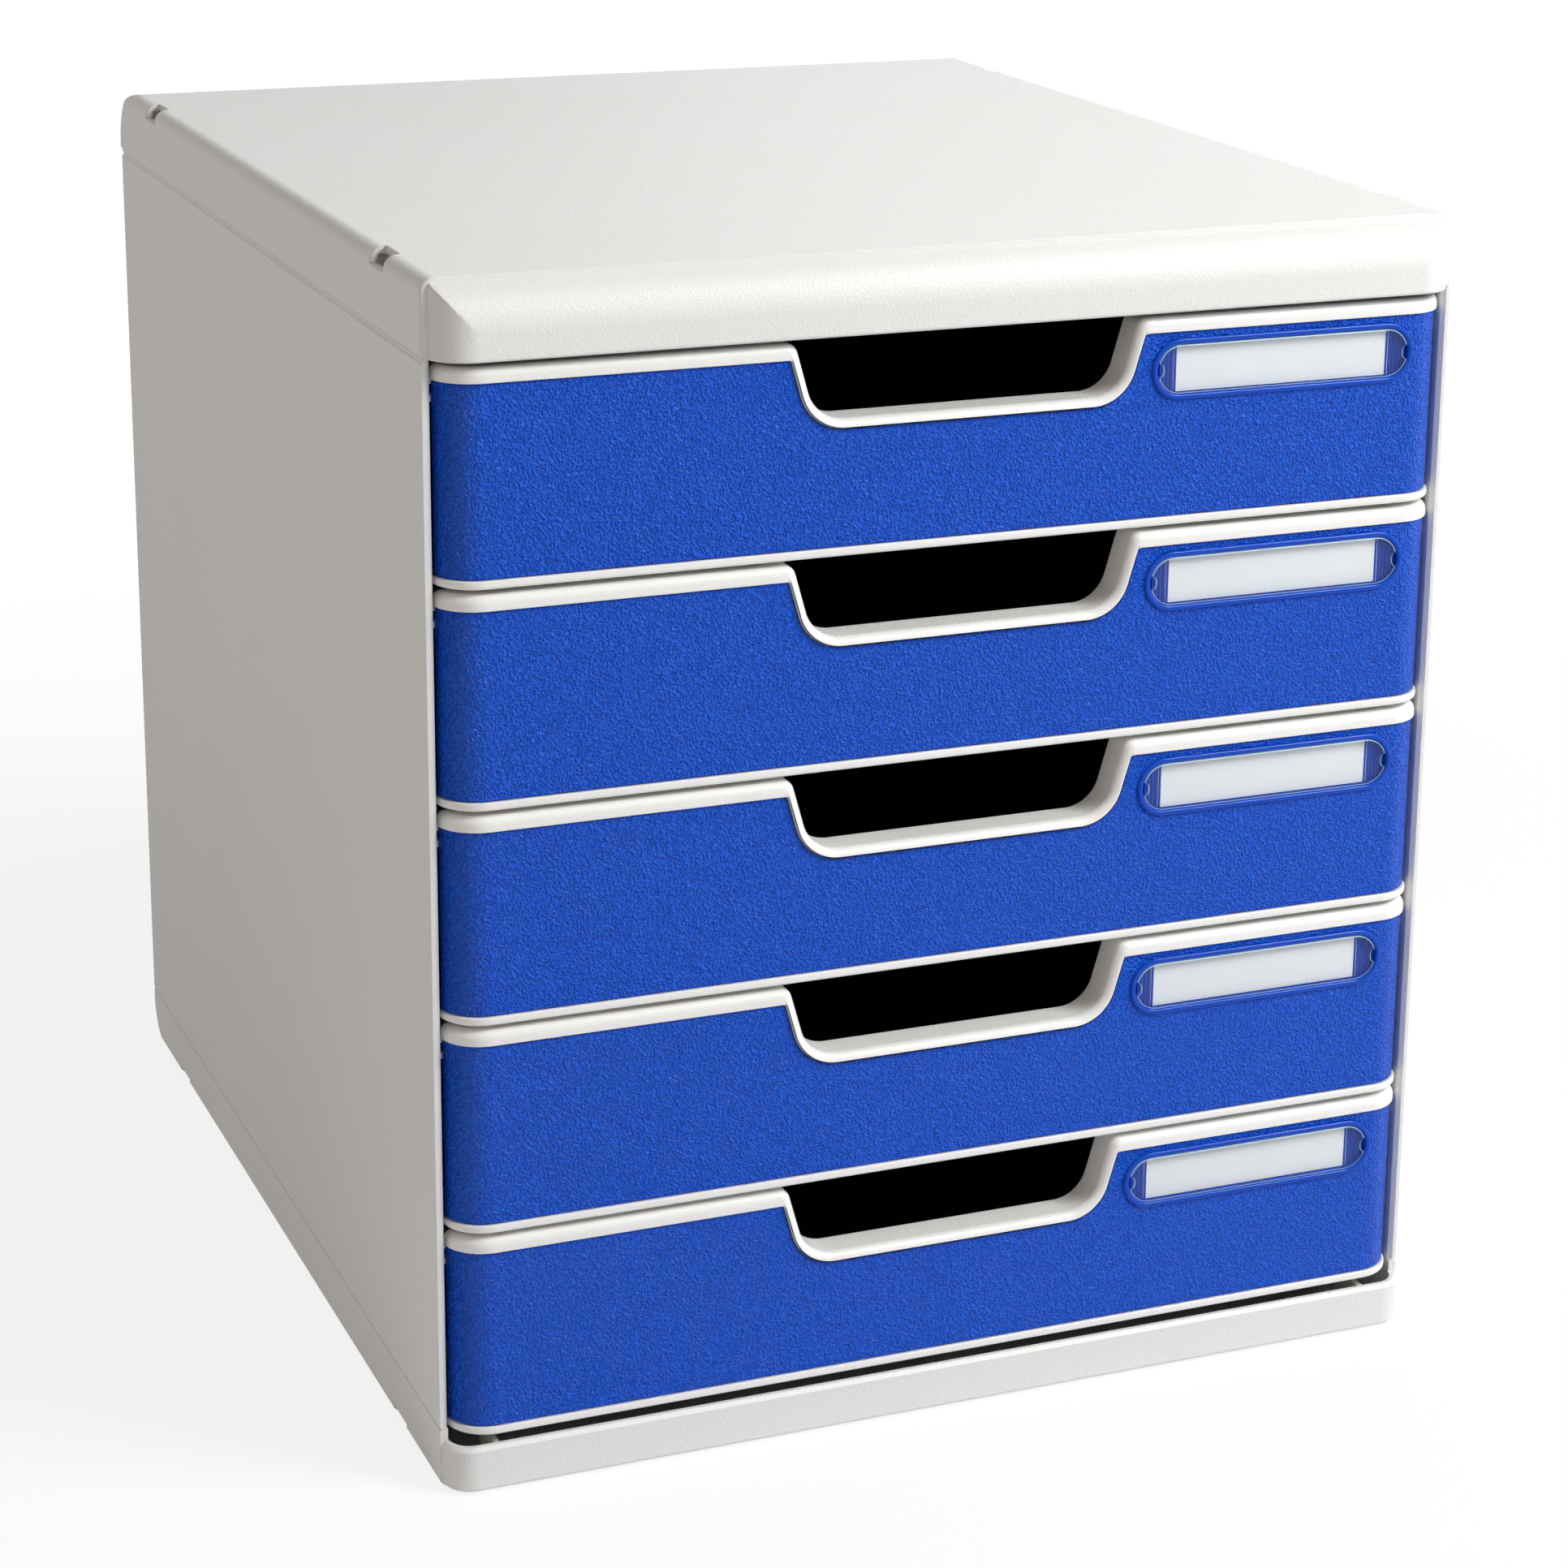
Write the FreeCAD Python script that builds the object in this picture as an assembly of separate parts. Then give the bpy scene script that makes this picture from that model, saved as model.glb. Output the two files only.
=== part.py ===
"""Desktop drawer set for A4 paper: five black trays with light grey and blue fronts in a moulded housing.

Millimetres, +Z up, drawers open towards -Y. The origin is on the desk, under the middle of the object.
Each piece is one solid (or one group of equal solids) and is written to parts/<piece>.step.
"""
import FreeCAD, Part
import math
import os

Vector = FreeCAD.Vector

# ---------------------------------------------------------------- overall size
WIDTH = 285.0                 # across the side walls
DEPTH = 342.0                 # bezel front to the foremost point of the lid's rear
DRAWER_COUNT = 5
DRAWER_PITCH = 56.9           # height of one drawer storey

# ---------------------------------------------------------------- housing
FOOT_PROUD = 0.6              # how far the rubber feet stand below the base
BASE_HEIGHT = 16.0            # base moulding, without feet
BASE_RIM_DROP = 3.4           # the base's front rim lies this much below its side walls
LID_HEIGHT = 20.1             # skirt edge to the top face
WALL = 2.2                    # wall of every housing moulding
LID_EDGE_RADIUS = 3.6         # long top edges
LID_REAR_RADIUS = 18.0        # rear top edge
LID_REAR_PROUD = 1.4          # the lid's rear bulges behind the side walls by this
BASE_REAR_RADIUS = 13.0       # rear bottom edge
BEZEL_DEPTH = 7.4             # lip line back from the front plane
LIP_BEVEL = 0.4               # broken edge along the lid's lip line
LID_BEZEL_INSET = 1.2         # step between the lid's lip line and the bezel in front of it
LID_CORNER_RADIUS = 11.0      # the lid's front corners, seen from above
NOSE_RADIUS = 13.0            # rolled front of the lid
NOSE_DROP = 13.1              # lid top to where the rolled front becomes upright
BASE_BEZEL_INSET = 0.3        # step between the base's lip line and its bezel
BASE_CORNER_RADIUS = 8.0      # the base's front corners, seen from above
BASE_RIM_BEVEL = 1.0          # along the top of the base's front
BASE_EDGE_BEVEL = 1.0         # bottom edges of the base
SEAM_LID = 1.5                # shadow gap cut into the lid's skirt edge
SEAM_PANEL = 1.2              # and into the side wall's top edge
SEAM_DEPTH = 0.5
SEAM_BEVEL = 0.6              # sloping part of the shadow gap, top and bottom
SEAM_BASE = 0.5               # bevels where the side walls stand on the base
PANEL_EDGE_BEVEL = 1.1        # inner bevel on the front edges of the side walls
TONGUE_THICKNESS = 1.6        # locating tongues of lid and base behind the side walls
TONGUE_HEIGHT = 4.0
TONGUE_SETBACK = 14.0         # tongues start this far behind the lip line
JOIN_GAP = 0.1                # seat clearance between housing pieces

# stiffening ribs inside lid and base
RIB_THICKNESS = 1.6
LID_RIB_DEPTH = 5.0
LID_RIB_X = (-70.0, 0.0, 70.0)
LID_RIB_Y = (-80.0, 0.0, 80.0)
BASE_RIB_HEIGHT = 8.0
BASE_RIB_Y = (-90.0, 0.0, 90.0)
POCKET_RIB_INSET = 11.8       # ribs behind the base's front rim, from the side wall
POCKET_RIB_LENGTH = 14.0
POCKET_RIB_DROP = 0.5         # below the base's front rim

# hook recesses on the long edges, where stacked units lock
HOOK_INSET = 45.0             # centre from the front and rear planes
HOOK_LENGTH = 12.0
HOOK_NOTCH = 4.2              # notch in the edge, cut into the top face and the side face
HOOK_POCKET_COVER = 2.1       # skin over the pocket in the notch's inner corner
HOOK_POCKET_END = 6.5         # the pocket's far walls, from the top face and the side face
HOOK_UNDERCUT = 1.5           # the pocket reaches this far behind the notch, for the hook's nose
HOOK_WALL = 1.6
HOOK_BASE_WIDTH = 6.5         # plain recess under the base
HOOK_BASE_DEPTH = 2.0

# back panel
BACK_RIB_COUNT = 5
BACK_RIB_DEPTH = 3.0
BACK_FRAME = 12.0             # plain border round the sunk field
BACK_SINK = 0.8

# rubber feet: square pads in shallow sockets
FOOT_SIDE = 14.0
FOOT_SOCKET_DEPTH = 1.0
FOOT_CLEARANCE = 0.1
FOOT_CORNER = 1.5
FOOT_INSET_X = 26.0
FOOT_INSET_Y = 34.0

# ---------------------------------------------------------------- drawer fronts
FRONT_GAP = 1.4               # between fronts, and above the top one
FIRST_FRONT_GAP = 2.4         # base rim to the lowest front
FRONT_SIDE_GAP = 0.5          # front to side wall
FRONT_SETBACK = 1.2           # rims behind the housing's front plane
FRONT_DEPTH = 10.0            # rim to the rear edge of the moulding
FRONT_CORNER_RADIUS = 11.4
FRONT_SHELL = 2.0             # wall of the front moulding
TOP_RIM = 4.1
BOTTOM_RIM = 2.3
RIM_BEVEL = 1.3               # broken edge along the top and round the finger cut-out
BOTTOM_BEVEL = 0.7
PANEL_SINK = 0.7              # blue panel behind the rims
PANEL_THICKNESS = 2.4
PANEL_GAP = 0.15
PANEL_SEAT_GAP = 0.05         # panel to the web behind it

# finger cut-out, as the blue panel shows it
PANEL_WING_WIDTH = 90.7       # blue panel either side of the cut-out, along its top edge
CUTOUT_DEPTH = 18.4           # below the panel's top edge
CUTOUT_CORNER_RADIUS = 12.5
CUTOUT_SLOPE = 16.0           # degrees from upright
CUTOUT_RIM = 2.5              # rim round the cut-out
CUTOUT_LIP_RADIUS = 3.2       # convex corners where cut-out and top rim meet

# label pocket
LABEL_SIDE_MARGIN = 12.75     # pocket end to the front's side
LABEL_BELOW_TOP = 10.0        # centre below the panel's top edge
LABEL_LENGTH = 74.3
LABEL_HEIGHT = 13.1
LABEL_RIM = 1.6
LABEL_RIM_BEVEL = 0.9
LABEL_POCKET_DEPTH = 1.6      # below the blue plane
WINDOW_THICKNESS = 1.7
WINDOW_GAP = 0.1
CARD_LENGTH = 63.6
CARD_HEIGHT = 12.2
CARD_THICKNESS = 0.3

# ---------------------------------------------------------------- trays
TRAY_WALL = 1.8
TRAY_SIDE_SPACE = 12.3        # side wall to tray, for the runners
TRAY_REAR_SPACE = 19.6        # tray to the rear of the side walls
TRAY_LIFT = 2.2               # tray bottom above the front's bottom edge
TRAY_DROP = 5.9               # tray rim below the front's top edge
TRAY_CORNER_RADIUS = 6.0
TRAY_BOTTOM_BEVEL = 2.0
FLANGE_SIDE_GAP = 1.8         # flange to side wall
FLANGE_THICKNESS = 2.0
FLANGE_SETBACK = 1.5          # flange starts behind the front moulding
FLOOR_RIB_X = (-90.0, -30.0, 30.0, 90.0)
FLOOR_RIB_HEIGHT = 1.0
FLOOR_RIB_WIDTH = 2.0
FLOOR_RIB_MARGIN = 20.0
SCOOP_CLEARANCE = 0.3         # tray wall round the front's scoop

# snap lugs that hold front and tray together
LUG_WIDTH = 8.0
LUG_HEIGHT = 3.0
LUG_LENGTH = 3.4
LUG_CLEARANCE = 0.1
LUG_INSET = 16.0              # from the tray's side
LUG_HEIGHTS = (12.0, 32.0)    # above the tray bottom

# ---------------------------------------------------------------- runners
LEDGE_THICKNESS = 1.6
LEDGE_TIP_GAP = 1.5           # ledge tip to tray wall
RUN_GAP = 0.3                 # flange above its ledge, front before its stop
KEEPER_GAP = 0.5              # flange below the keeper
KEEPER_THICKNESS = 1.6
LEDGE_REAR_MARGIN = 6.0
TRAVEL = 240.0
STOP_CLEARANCE = 0.4
STOP_TAB_INSET = 9.0          # tab in front of the tray's rear end
STOP_TAB_LENGTH = 3.0
STOP_TAB_HEIGHT = 2.0
STOP_TAB_WIDTH = 5.0
STOP_TAB_EDGE = 1.0           # tab to the flange's edge

# ---------------------------------------------------------------- modelling allowances
OVERCUT = 1.0                 # cutters reach this far past what they cut
EMBED = 0.5                   # added features start this far inside their wall
CUTOUT_SWEEP = 40.0           # length of the finger cut-out's cutter
NEAR = 0.01                   # edges this close to a plane count as lying in it

# ---------------------------------------------------------------- derived places
HALF_WIDTH = WIDTH / 2
FRONT_Y = -DEPTH / 2
REAR_Y = DEPTH / 2
LIP_Y = FRONT_Y + BEZEL_DEPTH
SIDE_REAR_Y = REAR_Y - LID_REAR_PROUD
INNER_X = HALF_WIDTH - WALL
BASE_Z = FOOT_PROUD
BASE_SEAM_Z = BASE_Z + BASE_HEIGHT
BASE_RIM_Z = BASE_SEAM_Z - BASE_RIM_DROP
FIRST_FRONT_Z = BASE_RIM_Z + FIRST_FRONT_GAP
FRONT_HEIGHT = DRAWER_PITCH - FRONT_GAP
LID_SEAM_Z = FIRST_FRONT_Z + DRAWER_COUNT * DRAWER_PITCH
TOP_Z = LID_SEAM_Z + LID_HEIGHT

RIM_Y = FRONT_Y + FRONT_SETBACK
FRONT_BACK_Y = RIM_Y + FRONT_DEPTH
FRONT_HALF_WIDTH = INNER_X - FRONT_SIDE_GAP
FLAT_HALF_WIDTH = FRONT_HALF_WIDTH - FRONT_CORNER_RADIUS
PANEL_Y = RIM_Y + PANEL_SINK
WEB_DEPTH = PANEL_SINK + PANEL_THICKNESS + PANEL_SEAT_GAP
WEB_BACK_DEPTH = WEB_DEPTH + FRONT_SHELL
WEB_BACK_Y = RIM_Y + WEB_BACK_DEPTH
PANEL_TOP = FRONT_HEIGHT - TOP_RIM
CUTOUT_BOTTOM = PANEL_TOP - CUTOUT_DEPTH
CUTOUT_HALF_WIDTH = FRONT_HALF_WIDTH - PANEL_WING_WIDTH
LABEL_X = FRONT_HALF_WIDTH - LABEL_SIDE_MARGIN - LABEL_LENGTH / 2
LABEL_Z = PANEL_TOP - LABEL_BELOW_TOP
POCKET_Y = PANEL_Y + LABEL_POCKET_DEPTH

TRAY_TOP = FRONT_HEIGHT - TRAY_DROP
TRAY_HALF_WIDTH = INNER_X - TRAY_SIDE_SPACE
TRAY_REAR_Y = SIDE_REAR_Y - TRAY_REAR_SPACE
FLANGE_X = INNER_X - FLANGE_SIDE_GAP
FLANGE_Z = TRAY_TOP - FLANGE_THICKNESS
FLANGE_FRONT_Y = FRONT_BACK_Y + FLANGE_SETBACK
LEDGE_TIP_X = TRAY_HALF_WIDTH + LEDGE_TIP_GAP
LEDGE_FRONT_Y = FRONT_BACK_Y + RUN_GAP
LEDGE_REAR_Y = SIDE_REAR_Y - WALL - LEDGE_REAR_MARGIN
LEDGE_Z = FLANGE_Z - RUN_GAP - LEDGE_THICKNESS
KEEPER_Z = TRAY_TOP + KEEPER_GAP
STOP_TAB_FRONT_Y = TRAY_REAR_Y - STOP_TAB_INSET
KEEPER_REAR_Y = STOP_TAB_FRONT_Y - TRAVEL - STOP_CLEARANCE

X_AXIS = Vector(1, 0, 0)
Y_AXIS = Vector(0, 1, 0)
Z_AXIS = Vector(0, 0, 1)


# ---------------------------------------------------------------- small helpers
def block(x0, x1, y0, y1, z0, z1):
    """Box between two opposite corners."""
    return Part.makeBox(x1 - x0, y1 - y0, z1 - z0, Vector(x0, y0, z0))


def fuse_all(shapes):
    """One clean solid from several touching ones."""
    first, rest = shapes[0], shapes[1:]
    return (first.multiFuse(rest) if rest else first).removeSplitter()


def mirrored(shape):
    """Copy on the other side of the middle plane."""
    return shape.mirror(Vector(0, 0, 0), Vector(1, 0, 0))


def both_sides(shape):
    """A right-hand shape and its mirror image."""
    return [shape, mirrored(shape)]


def prism(edges, along):
    """Solid swept from a closed outline along a vector."""
    return Part.Face(Part.Wire(edges)).extrude(along)


def polygon_edges(points):
    """Closed outline of straight edges."""
    pairs = zip(points, points[1:] + points[:1])
    return [Part.makeLine(a, b) for a, b in pairs]


def polygon_prism(points, along):
    """Solid swept from a polygon."""
    return prism(polygon_edges(points), along)


def arc(centre, radius, start, end, axes):
    """Arc edge from one angle to another, in the plane of two unit vectors."""
    def at(degrees):
        turn = math.radians(degrees)
        return centre + axes[0] * (radius * math.cos(turn)) + axes[1] * (radius * math.sin(turn))
    return Part.Arc(at(start), at((start + end) / 2), at(end)).toShape()


def edges_where(shape, test):
    """Edges whose centre passes a test."""
    return [edge for edge in shape.Edges if test(edge.CenterOfMass)]


# ---------------------------------------------------------------- housing forms
def rounded_top_section(inset, y0, y1, z0):
    """Lid section across the width, with both long top edges rounded, swept along Y."""
    x = HALF_WIDTH - inset
    top = TOP_Z - inset
    radius = LID_EDGE_RADIUS - inset
    outline = [
        Part.makeLine(Vector(x, y0, z0), Vector(x, y0, top - radius)),
        arc(Vector(x - radius, y0, top - radius), radius, 0, 90, (X_AXIS, Z_AXIS)),
        Part.makeLine(Vector(x - radius, y0, top), Vector(radius - x, y0, top)),
        arc(Vector(radius - x, y0, top - radius), radius, 90, 180, (X_AXIS, Z_AXIS)),
        Part.makeLine(Vector(-x, y0, top - radius), Vector(-x, y0, z0)),
        Part.makeLine(Vector(-x, y0, z0), Vector(x, y0, z0)),
    ]
    return prism(outline, Vector(0, y1 - y0, 0))


def rear_rounded_section(y0, y1, flat_z, round_z, radius):
    """Section along the depth, swept along X, with its rear edge at round_z rounded."""
    x = -WIDTH
    up = math.copysign(1, round_z - flat_z)
    turn = 90 * up
    outline = [
        Part.makeLine(Vector(x, y0, flat_z), Vector(x, y1, flat_z)),
        Part.makeLine(Vector(x, y1, flat_z), Vector(x, y1, round_z - up * radius)),
        arc(Vector(x, y1 - radius, round_z - up * radius), radius, 0, turn, (Y_AXIS, Z_AXIS)),
        Part.makeLine(Vector(x, y1 - radius, round_z), Vector(x, y0, round_z)),
        Part.makeLine(Vector(x, y0, round_z), Vector(x, y0, flat_z)),
    ]
    return prism(outline, Vector(2 * WIDTH, 0, 0))


def bezel_block(step, corner_radius, inset, z0, z1):
    """Front of lid or base: a block with round vertical corners, reaching back inside the main body."""
    x = HALF_WIDTH - step - inset
    body = block(-x, x, FRONT_Y + inset, LIP_Y + corner_radius, z0, z1)
    corners = edges_where(body, lambda c: c.y < FRONT_Y + inset + NEAR and abs(abs(c.x) - x) < NEAR)
    return body.makeFillet(corner_radius - inset, corners)


def base_bezel(inset, z0, z1):
    """Front of the base, or its hollow when inset by the wall."""
    return bezel_block(BASE_BEZEL_INSET, BASE_CORNER_RADIUS, inset, z0, z1)


def nose_section(inset, z0):
    """Side view of the lid's rolled front, swept along X."""
    x = -WIDTH
    y0 = FRONT_Y + inset
    y1 = FRONT_Y + NOSE_RADIUS
    upright_z = TOP_Z - NOSE_DROP
    radius = NOSE_RADIUS - inset
    outline = [
        Part.makeLine(Vector(x, y0, z0), Vector(x, y0, upright_z)),
        arc(Vector(x, y1, upright_z), radius, 180, 90, (Y_AXIS, Z_AXIS)),
        Part.makeLine(Vector(x, y1, upright_z + radius), Vector(x, y1, z0)),
        Part.makeLine(Vector(x, y1, z0), Vector(x, y0, z0)),
    ]
    return prism(outline, Vector(2 * WIDTH, 0, 0))


def lid_bezel(inset, z0):
    """Front of the lid, with the lid's own section set back by the step, or its hollow."""
    top = TOP_Z - LID_BEZEL_INSET - inset
    plan = bezel_block(LID_BEZEL_INSET, LID_CORNER_RADIUS, inset, z0, top)
    section = rounded_top_section(LID_BEZEL_INSET + inset, FRONT_Y, FRONT_Y + NOSE_RADIUS, z0)
    return plan.common(section).common(nose_section(inset, z0))


def lid_main(inset, z0, y0):
    """The lid behind the lip line, or its hollow when inset by the wall."""
    section = rounded_top_section(inset, y0, REAR_Y - inset, z0)
    rear = rear_rounded_section(LIP_Y, REAR_Y - inset, z0, TOP_Z - inset, LID_REAR_RADIUS - inset)
    return section.common(rear)


def make_top_cover():
    """Lid shell with rolled front, ribs, locating tongues and four hook recesses."""
    main = lid_main(0, LID_SEAM_Z, LIP_Y)
    lip = edges_where(main, lambda c: c.y < LIP_Y + NEAR and c.z > LID_SEAM_Z + NEAR)
    outer = main.makeChamfer(LIP_BEVEL, lip).fuse(lid_bezel(0, LID_SEAM_Z))

    below = LID_SEAM_Z - OVERCUT
    shell = outer.cut(lid_main(WALL, below, LIP_Y + WALL).fuse(lid_bezel(WALL, below)))

    inner_y0 = LIP_Y + WALL
    inner_y1 = REAR_Y - WALL
    rib_z = TOP_Z - WALL - LID_RIB_DEPTH
    half_rib = RIB_THICKNESS / 2
    ribs = [block(x - half_rib, x + half_rib, inner_y0, inner_y1, rib_z, TOP_Z) for x in LID_RIB_X]
    ribs += [block(-INNER_X, INNER_X, y - half_rib, y + half_rib, rib_z, TOP_Z) for y in LID_RIB_Y]
    ribs += at_hooks(hook_boss())
    ribs = [rib.common(outer) for rib in ribs]
    lid = fuse_all([shell] + ribs + tongues(LID_SEAM_Z, -1))

    cutters = at_hooks(hook_recess())
    cutters += both_sides(shadow_gap(LID_SEAM_Z, SEAM_LID, LIP_Y, REAR_Y + OVERCUT))
    return lid.cut(cutters).removeSplitter()


def hook_recess():
    """Notch in the right top edge, with a pocket in its inner corner that undercuts its rear wall."""
    x = HALF_WIDTH
    front = -HOOK_LENGTH / 2
    rear = HOOK_LENGTH / 2
    notch = block(x - HOOK_NOTCH, x + OVERCUT, front, rear, TOP_Z - HOOK_NOTCH, TOP_Z + OVERCUT)
    pocket = block(x - HOOK_POCKET_END, x - HOOK_POCKET_COVER, front, rear + HOOK_UNDERCUT,
                   TOP_Z - HOOK_POCKET_END, TOP_Z - HOOK_POCKET_COVER)
    return notch.fuse(pocket)


def hook_boss():
    """Thickening across the right top corner of the lid, which gives a hook recess its walls."""
    x = HALF_WIDTH
    reach = HOOK_POCKET_END + HOOK_WALL
    return block(x - reach, x, -HOOK_LENGTH / 2 - HOOK_WALL, HOOK_LENGTH / 2 + HOOK_UNDERCUT + HOOK_WALL,
                 TOP_Z - reach, TOP_Z)


def at_hooks(shape):
    """Copies of a right-hand shape at the four hook places."""
    placed = []
    for y in (FRONT_Y + HOOK_INSET, REAR_Y - HOOK_INSET):
        copy = shape.copy()
        copy.translate(Vector(0, y, 0))
        placed += both_sides(copy)
    return placed


def edge_bevel(z, height, depth, y0, y1):
    """Cutter for a bevel along the right outer edge at height z; a negative height bevels downwards."""
    x = HALF_WIDTH
    past = z - math.copysign(OVERCUT, height)
    points = [Vector(x - depth, y0, z), Vector(x, y0, z + height), Vector(x + OVERCUT, y0, z + height),
              Vector(x + OVERCUT, y0, past), Vector(x - depth, y0, past)]
    return polygon_prism(points, Vector(0, y1 - y0, 0))


def shadow_gap(z, height, y0, y1):
    """Cutter for one half of the lid seam's shadow gap, on the right; a negative height reaches down."""
    x = HALF_WIDTH
    up = math.copysign(1, height)
    past = z - up * OVERCUT
    points = [Vector(x - SEAM_DEPTH, y0, past), Vector(x - SEAM_DEPTH, y0, z + height - up * SEAM_BEVEL),
              Vector(x, y0, z + height), Vector(x + OVERCUT, y0, z + height), Vector(x + OVERCUT, y0, past)]
    return polygon_prism(points, Vector(0, y1 - y0, 0))


def tongues(seam_z, direction):
    """Pair of locating tongues that pass the seam behind the side walls (direction -1 down, +1 up)."""
    y0 = LIP_Y + TONGUE_SETBACK
    y1 = SIDE_REAR_Y - WALL - TONGUE_SETBACK
    root = seam_z - direction * TONGUE_HEIGHT
    tip = seam_z + direction * TONGUE_HEIGHT
    x0 = INNER_X - TONGUE_THICKNESS
    x1 = INNER_X - JOIN_GAP
    body = block(x0, x1, y0, y1, min(root, tip), max(root, tip))
    foot = block(x1, INNER_X + EMBED, y0, y1, min(root, seam_z), max(root, seam_z))
    return both_sides(body.fuse(foot))


def make_side_panel():
    """Right-hand side wall with a runner ledge and a keeper rail for every drawer."""
    wall = block(INNER_X, HALF_WIDTH, LIP_Y, SIDE_REAR_Y, BASE_SEAM_Z, LID_SEAM_Z)
    rails = []
    root = INNER_X + EMBED
    for index in range(DRAWER_COUNT):
        ledge_z = front_z(index) + LEDGE_Z
        keeper_z = front_z(index) + KEEPER_Z
        rails.append(block(LEDGE_TIP_X, root, LEDGE_FRONT_Y, LEDGE_REAR_Y,
                           ledge_z, ledge_z + LEDGE_THICKNESS))
        rails.append(block(LEDGE_TIP_X, root, LEDGE_FRONT_Y, KEEPER_REAR_Y,
                           keeper_z, keeper_z + KEEPER_THICKNESS))
    panel = fuse_all([wall] + rails)

    low = BASE_SEAM_Z - OVERCUT
    reach = PANEL_EDGE_BEVEL + OVERCUT
    front_bevel = polygon_prism([Vector(INNER_X - OVERCUT, LIP_Y - OVERCUT, low),
                                 Vector(INNER_X + reach, LIP_Y - OVERCUT, low),
                                 Vector(INNER_X - OVERCUT, LIP_Y + reach, low)],
                                Vector(0, 0, LID_SEAM_Z + OVERCUT - low))
    y0 = LIP_Y - OVERCUT
    y1 = SIDE_REAR_Y + OVERCUT
    cutters = [shadow_gap(LID_SEAM_Z, -SEAM_PANEL, y0, y1),
               edge_bevel(BASE_SEAM_Z, SEAM_BASE, SEAM_BASE, y0, y1), front_bevel]
    return panel.cut(cutters).removeSplitter()


def front_z(index):
    """Bottom edge of a drawer front, counted from the bottom drawer."""
    return FIRST_FRONT_Z + index * DRAWER_PITCH


def base_main(inset, z1):
    """The base behind the lip line, or its hollow when inset by the wall."""
    x = HALF_WIDTH - inset
    z0 = BASE_Z + inset
    main = block(-x, x, LIP_Y + inset, SIDE_REAR_Y - inset, z0, z1)
    return main.common(rear_rounded_section(LIP_Y, SIDE_REAR_Y - inset, z1, z0, BASE_REAR_RADIUS - inset))


def base_bezel_loop(bezel, z):
    """Edges of the base's bezel at one height, except the one buried in the main body."""
    buried_y = LIP_Y + BASE_CORNER_RADIUS - NEAR
    return edges_where(bezel, lambda c: abs(c.z - z) < NEAR and c.y < buried_y)


def make_base():
    """Open-topped base with floor, ribs, front pockets, tongues, foot sockets and hook recesses."""
    bezel = base_bezel(0, BASE_Z, BASE_RIM_Z)
    bezel = bezel.makeChamfer(BASE_RIM_BEVEL, base_bezel_loop(bezel, BASE_RIM_Z))
    bezel = bezel.makeChamfer(BASE_EDGE_BEVEL, base_bezel_loop(bezel, BASE_Z))
    outer = base_main(0, BASE_SEAM_Z).fuse(bezel)
    above = BASE_SEAM_Z + OVERCUT
    shell = outer.cut(base_main(WALL, above).fuse(base_bezel(WALL, BASE_Z + WALL, above)))

    floor_z = BASE_Z + WALL
    root_z = floor_z - EMBED
    half_rib = RIB_THICKNESS / 2
    ribs = [block(-INNER_X, INNER_X, y - half_rib, y + half_rib, root_z, floor_z + BASE_RIB_HEIGHT)
            for y in BASE_RIB_Y]
    pocket_x = INNER_X - POCKET_RIB_INSET
    inner_y = FRONT_Y + WALL
    ribs += both_sides(block(pocket_x - half_rib, pocket_x + half_rib, inner_y - EMBED,
                             inner_y + POCKET_RIB_LENGTH, root_z, BASE_RIM_Z - POCKET_RIB_DROP))
    hook_y = HOOK_LENGTH / 2
    ribs += at_hooks(block(HALF_WIDTH - HOOK_BASE_WIDTH - HOOK_WALL, INNER_X, -hook_y - HOOK_WALL,
                           hook_y + HOOK_WALL, root_z, floor_z + HOOK_BASE_DEPTH))
    base = fuse_all([shell] + ribs + tongues(BASE_SEAM_Z, 1))

    y1 = SIDE_REAR_Y + OVERCUT
    cutters = both_sides(edge_bevel(BASE_SEAM_Z, -SEAM_BASE, SEAM_BASE, LIP_Y, y1))
    cutters += both_sides(edge_bevel(BASE_Z, BASE_EDGE_BEVEL, BASE_EDGE_BEVEL, LIP_Y, y1))
    cutters += at_hooks(block(HALF_WIDTH - HOOK_BASE_WIDTH, HALF_WIDTH + OVERCUT, -hook_y, hook_y,
                              BASE_Z - OVERCUT, BASE_Z + HOOK_BASE_DEPTH))
    cutters.append(block(-INNER_X, INNER_X, FRONT_Y - OVERCUT, FRONT_BACK_Y, BASE_RIM_Z, above))
    cutters += [foot_pad(x, y, FOOT_CLEARANCE, BASE_Z - OVERCUT) for x, y in foot_places()]
    return base.cut(cutters).removeSplitter()


def foot_places():
    """Centres of the four feet."""
    x = HALF_WIDTH - FOOT_INSET_X
    y = REAR_Y - FOOT_INSET_Y
    return [(side_x * x, side_y * y) for side_x in (-1, 1) for side_y in (-1, 1)]


def foot_pad(x, y, grow, z0):
    """Square pad with broken corners, from z0 to the top of its socket."""
    half = FOOT_SIDE / 2 + grow
    pad = block(x - half, x + half, y - half, y + half, z0, BASE_Z + FOOT_SOCKET_DEPTH)
    corners = edges_where(pad, lambda c: abs(c.x - x) > half - NEAR and abs(c.y - y) > half - NEAR)
    return pad.makeChamfer(FOOT_CORNER, corners)


def make_feet():
    """Four rubber pads in their sockets."""
    return Part.makeCompound([foot_pad(x, y, 0, 0) for x, y in foot_places()])


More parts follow.
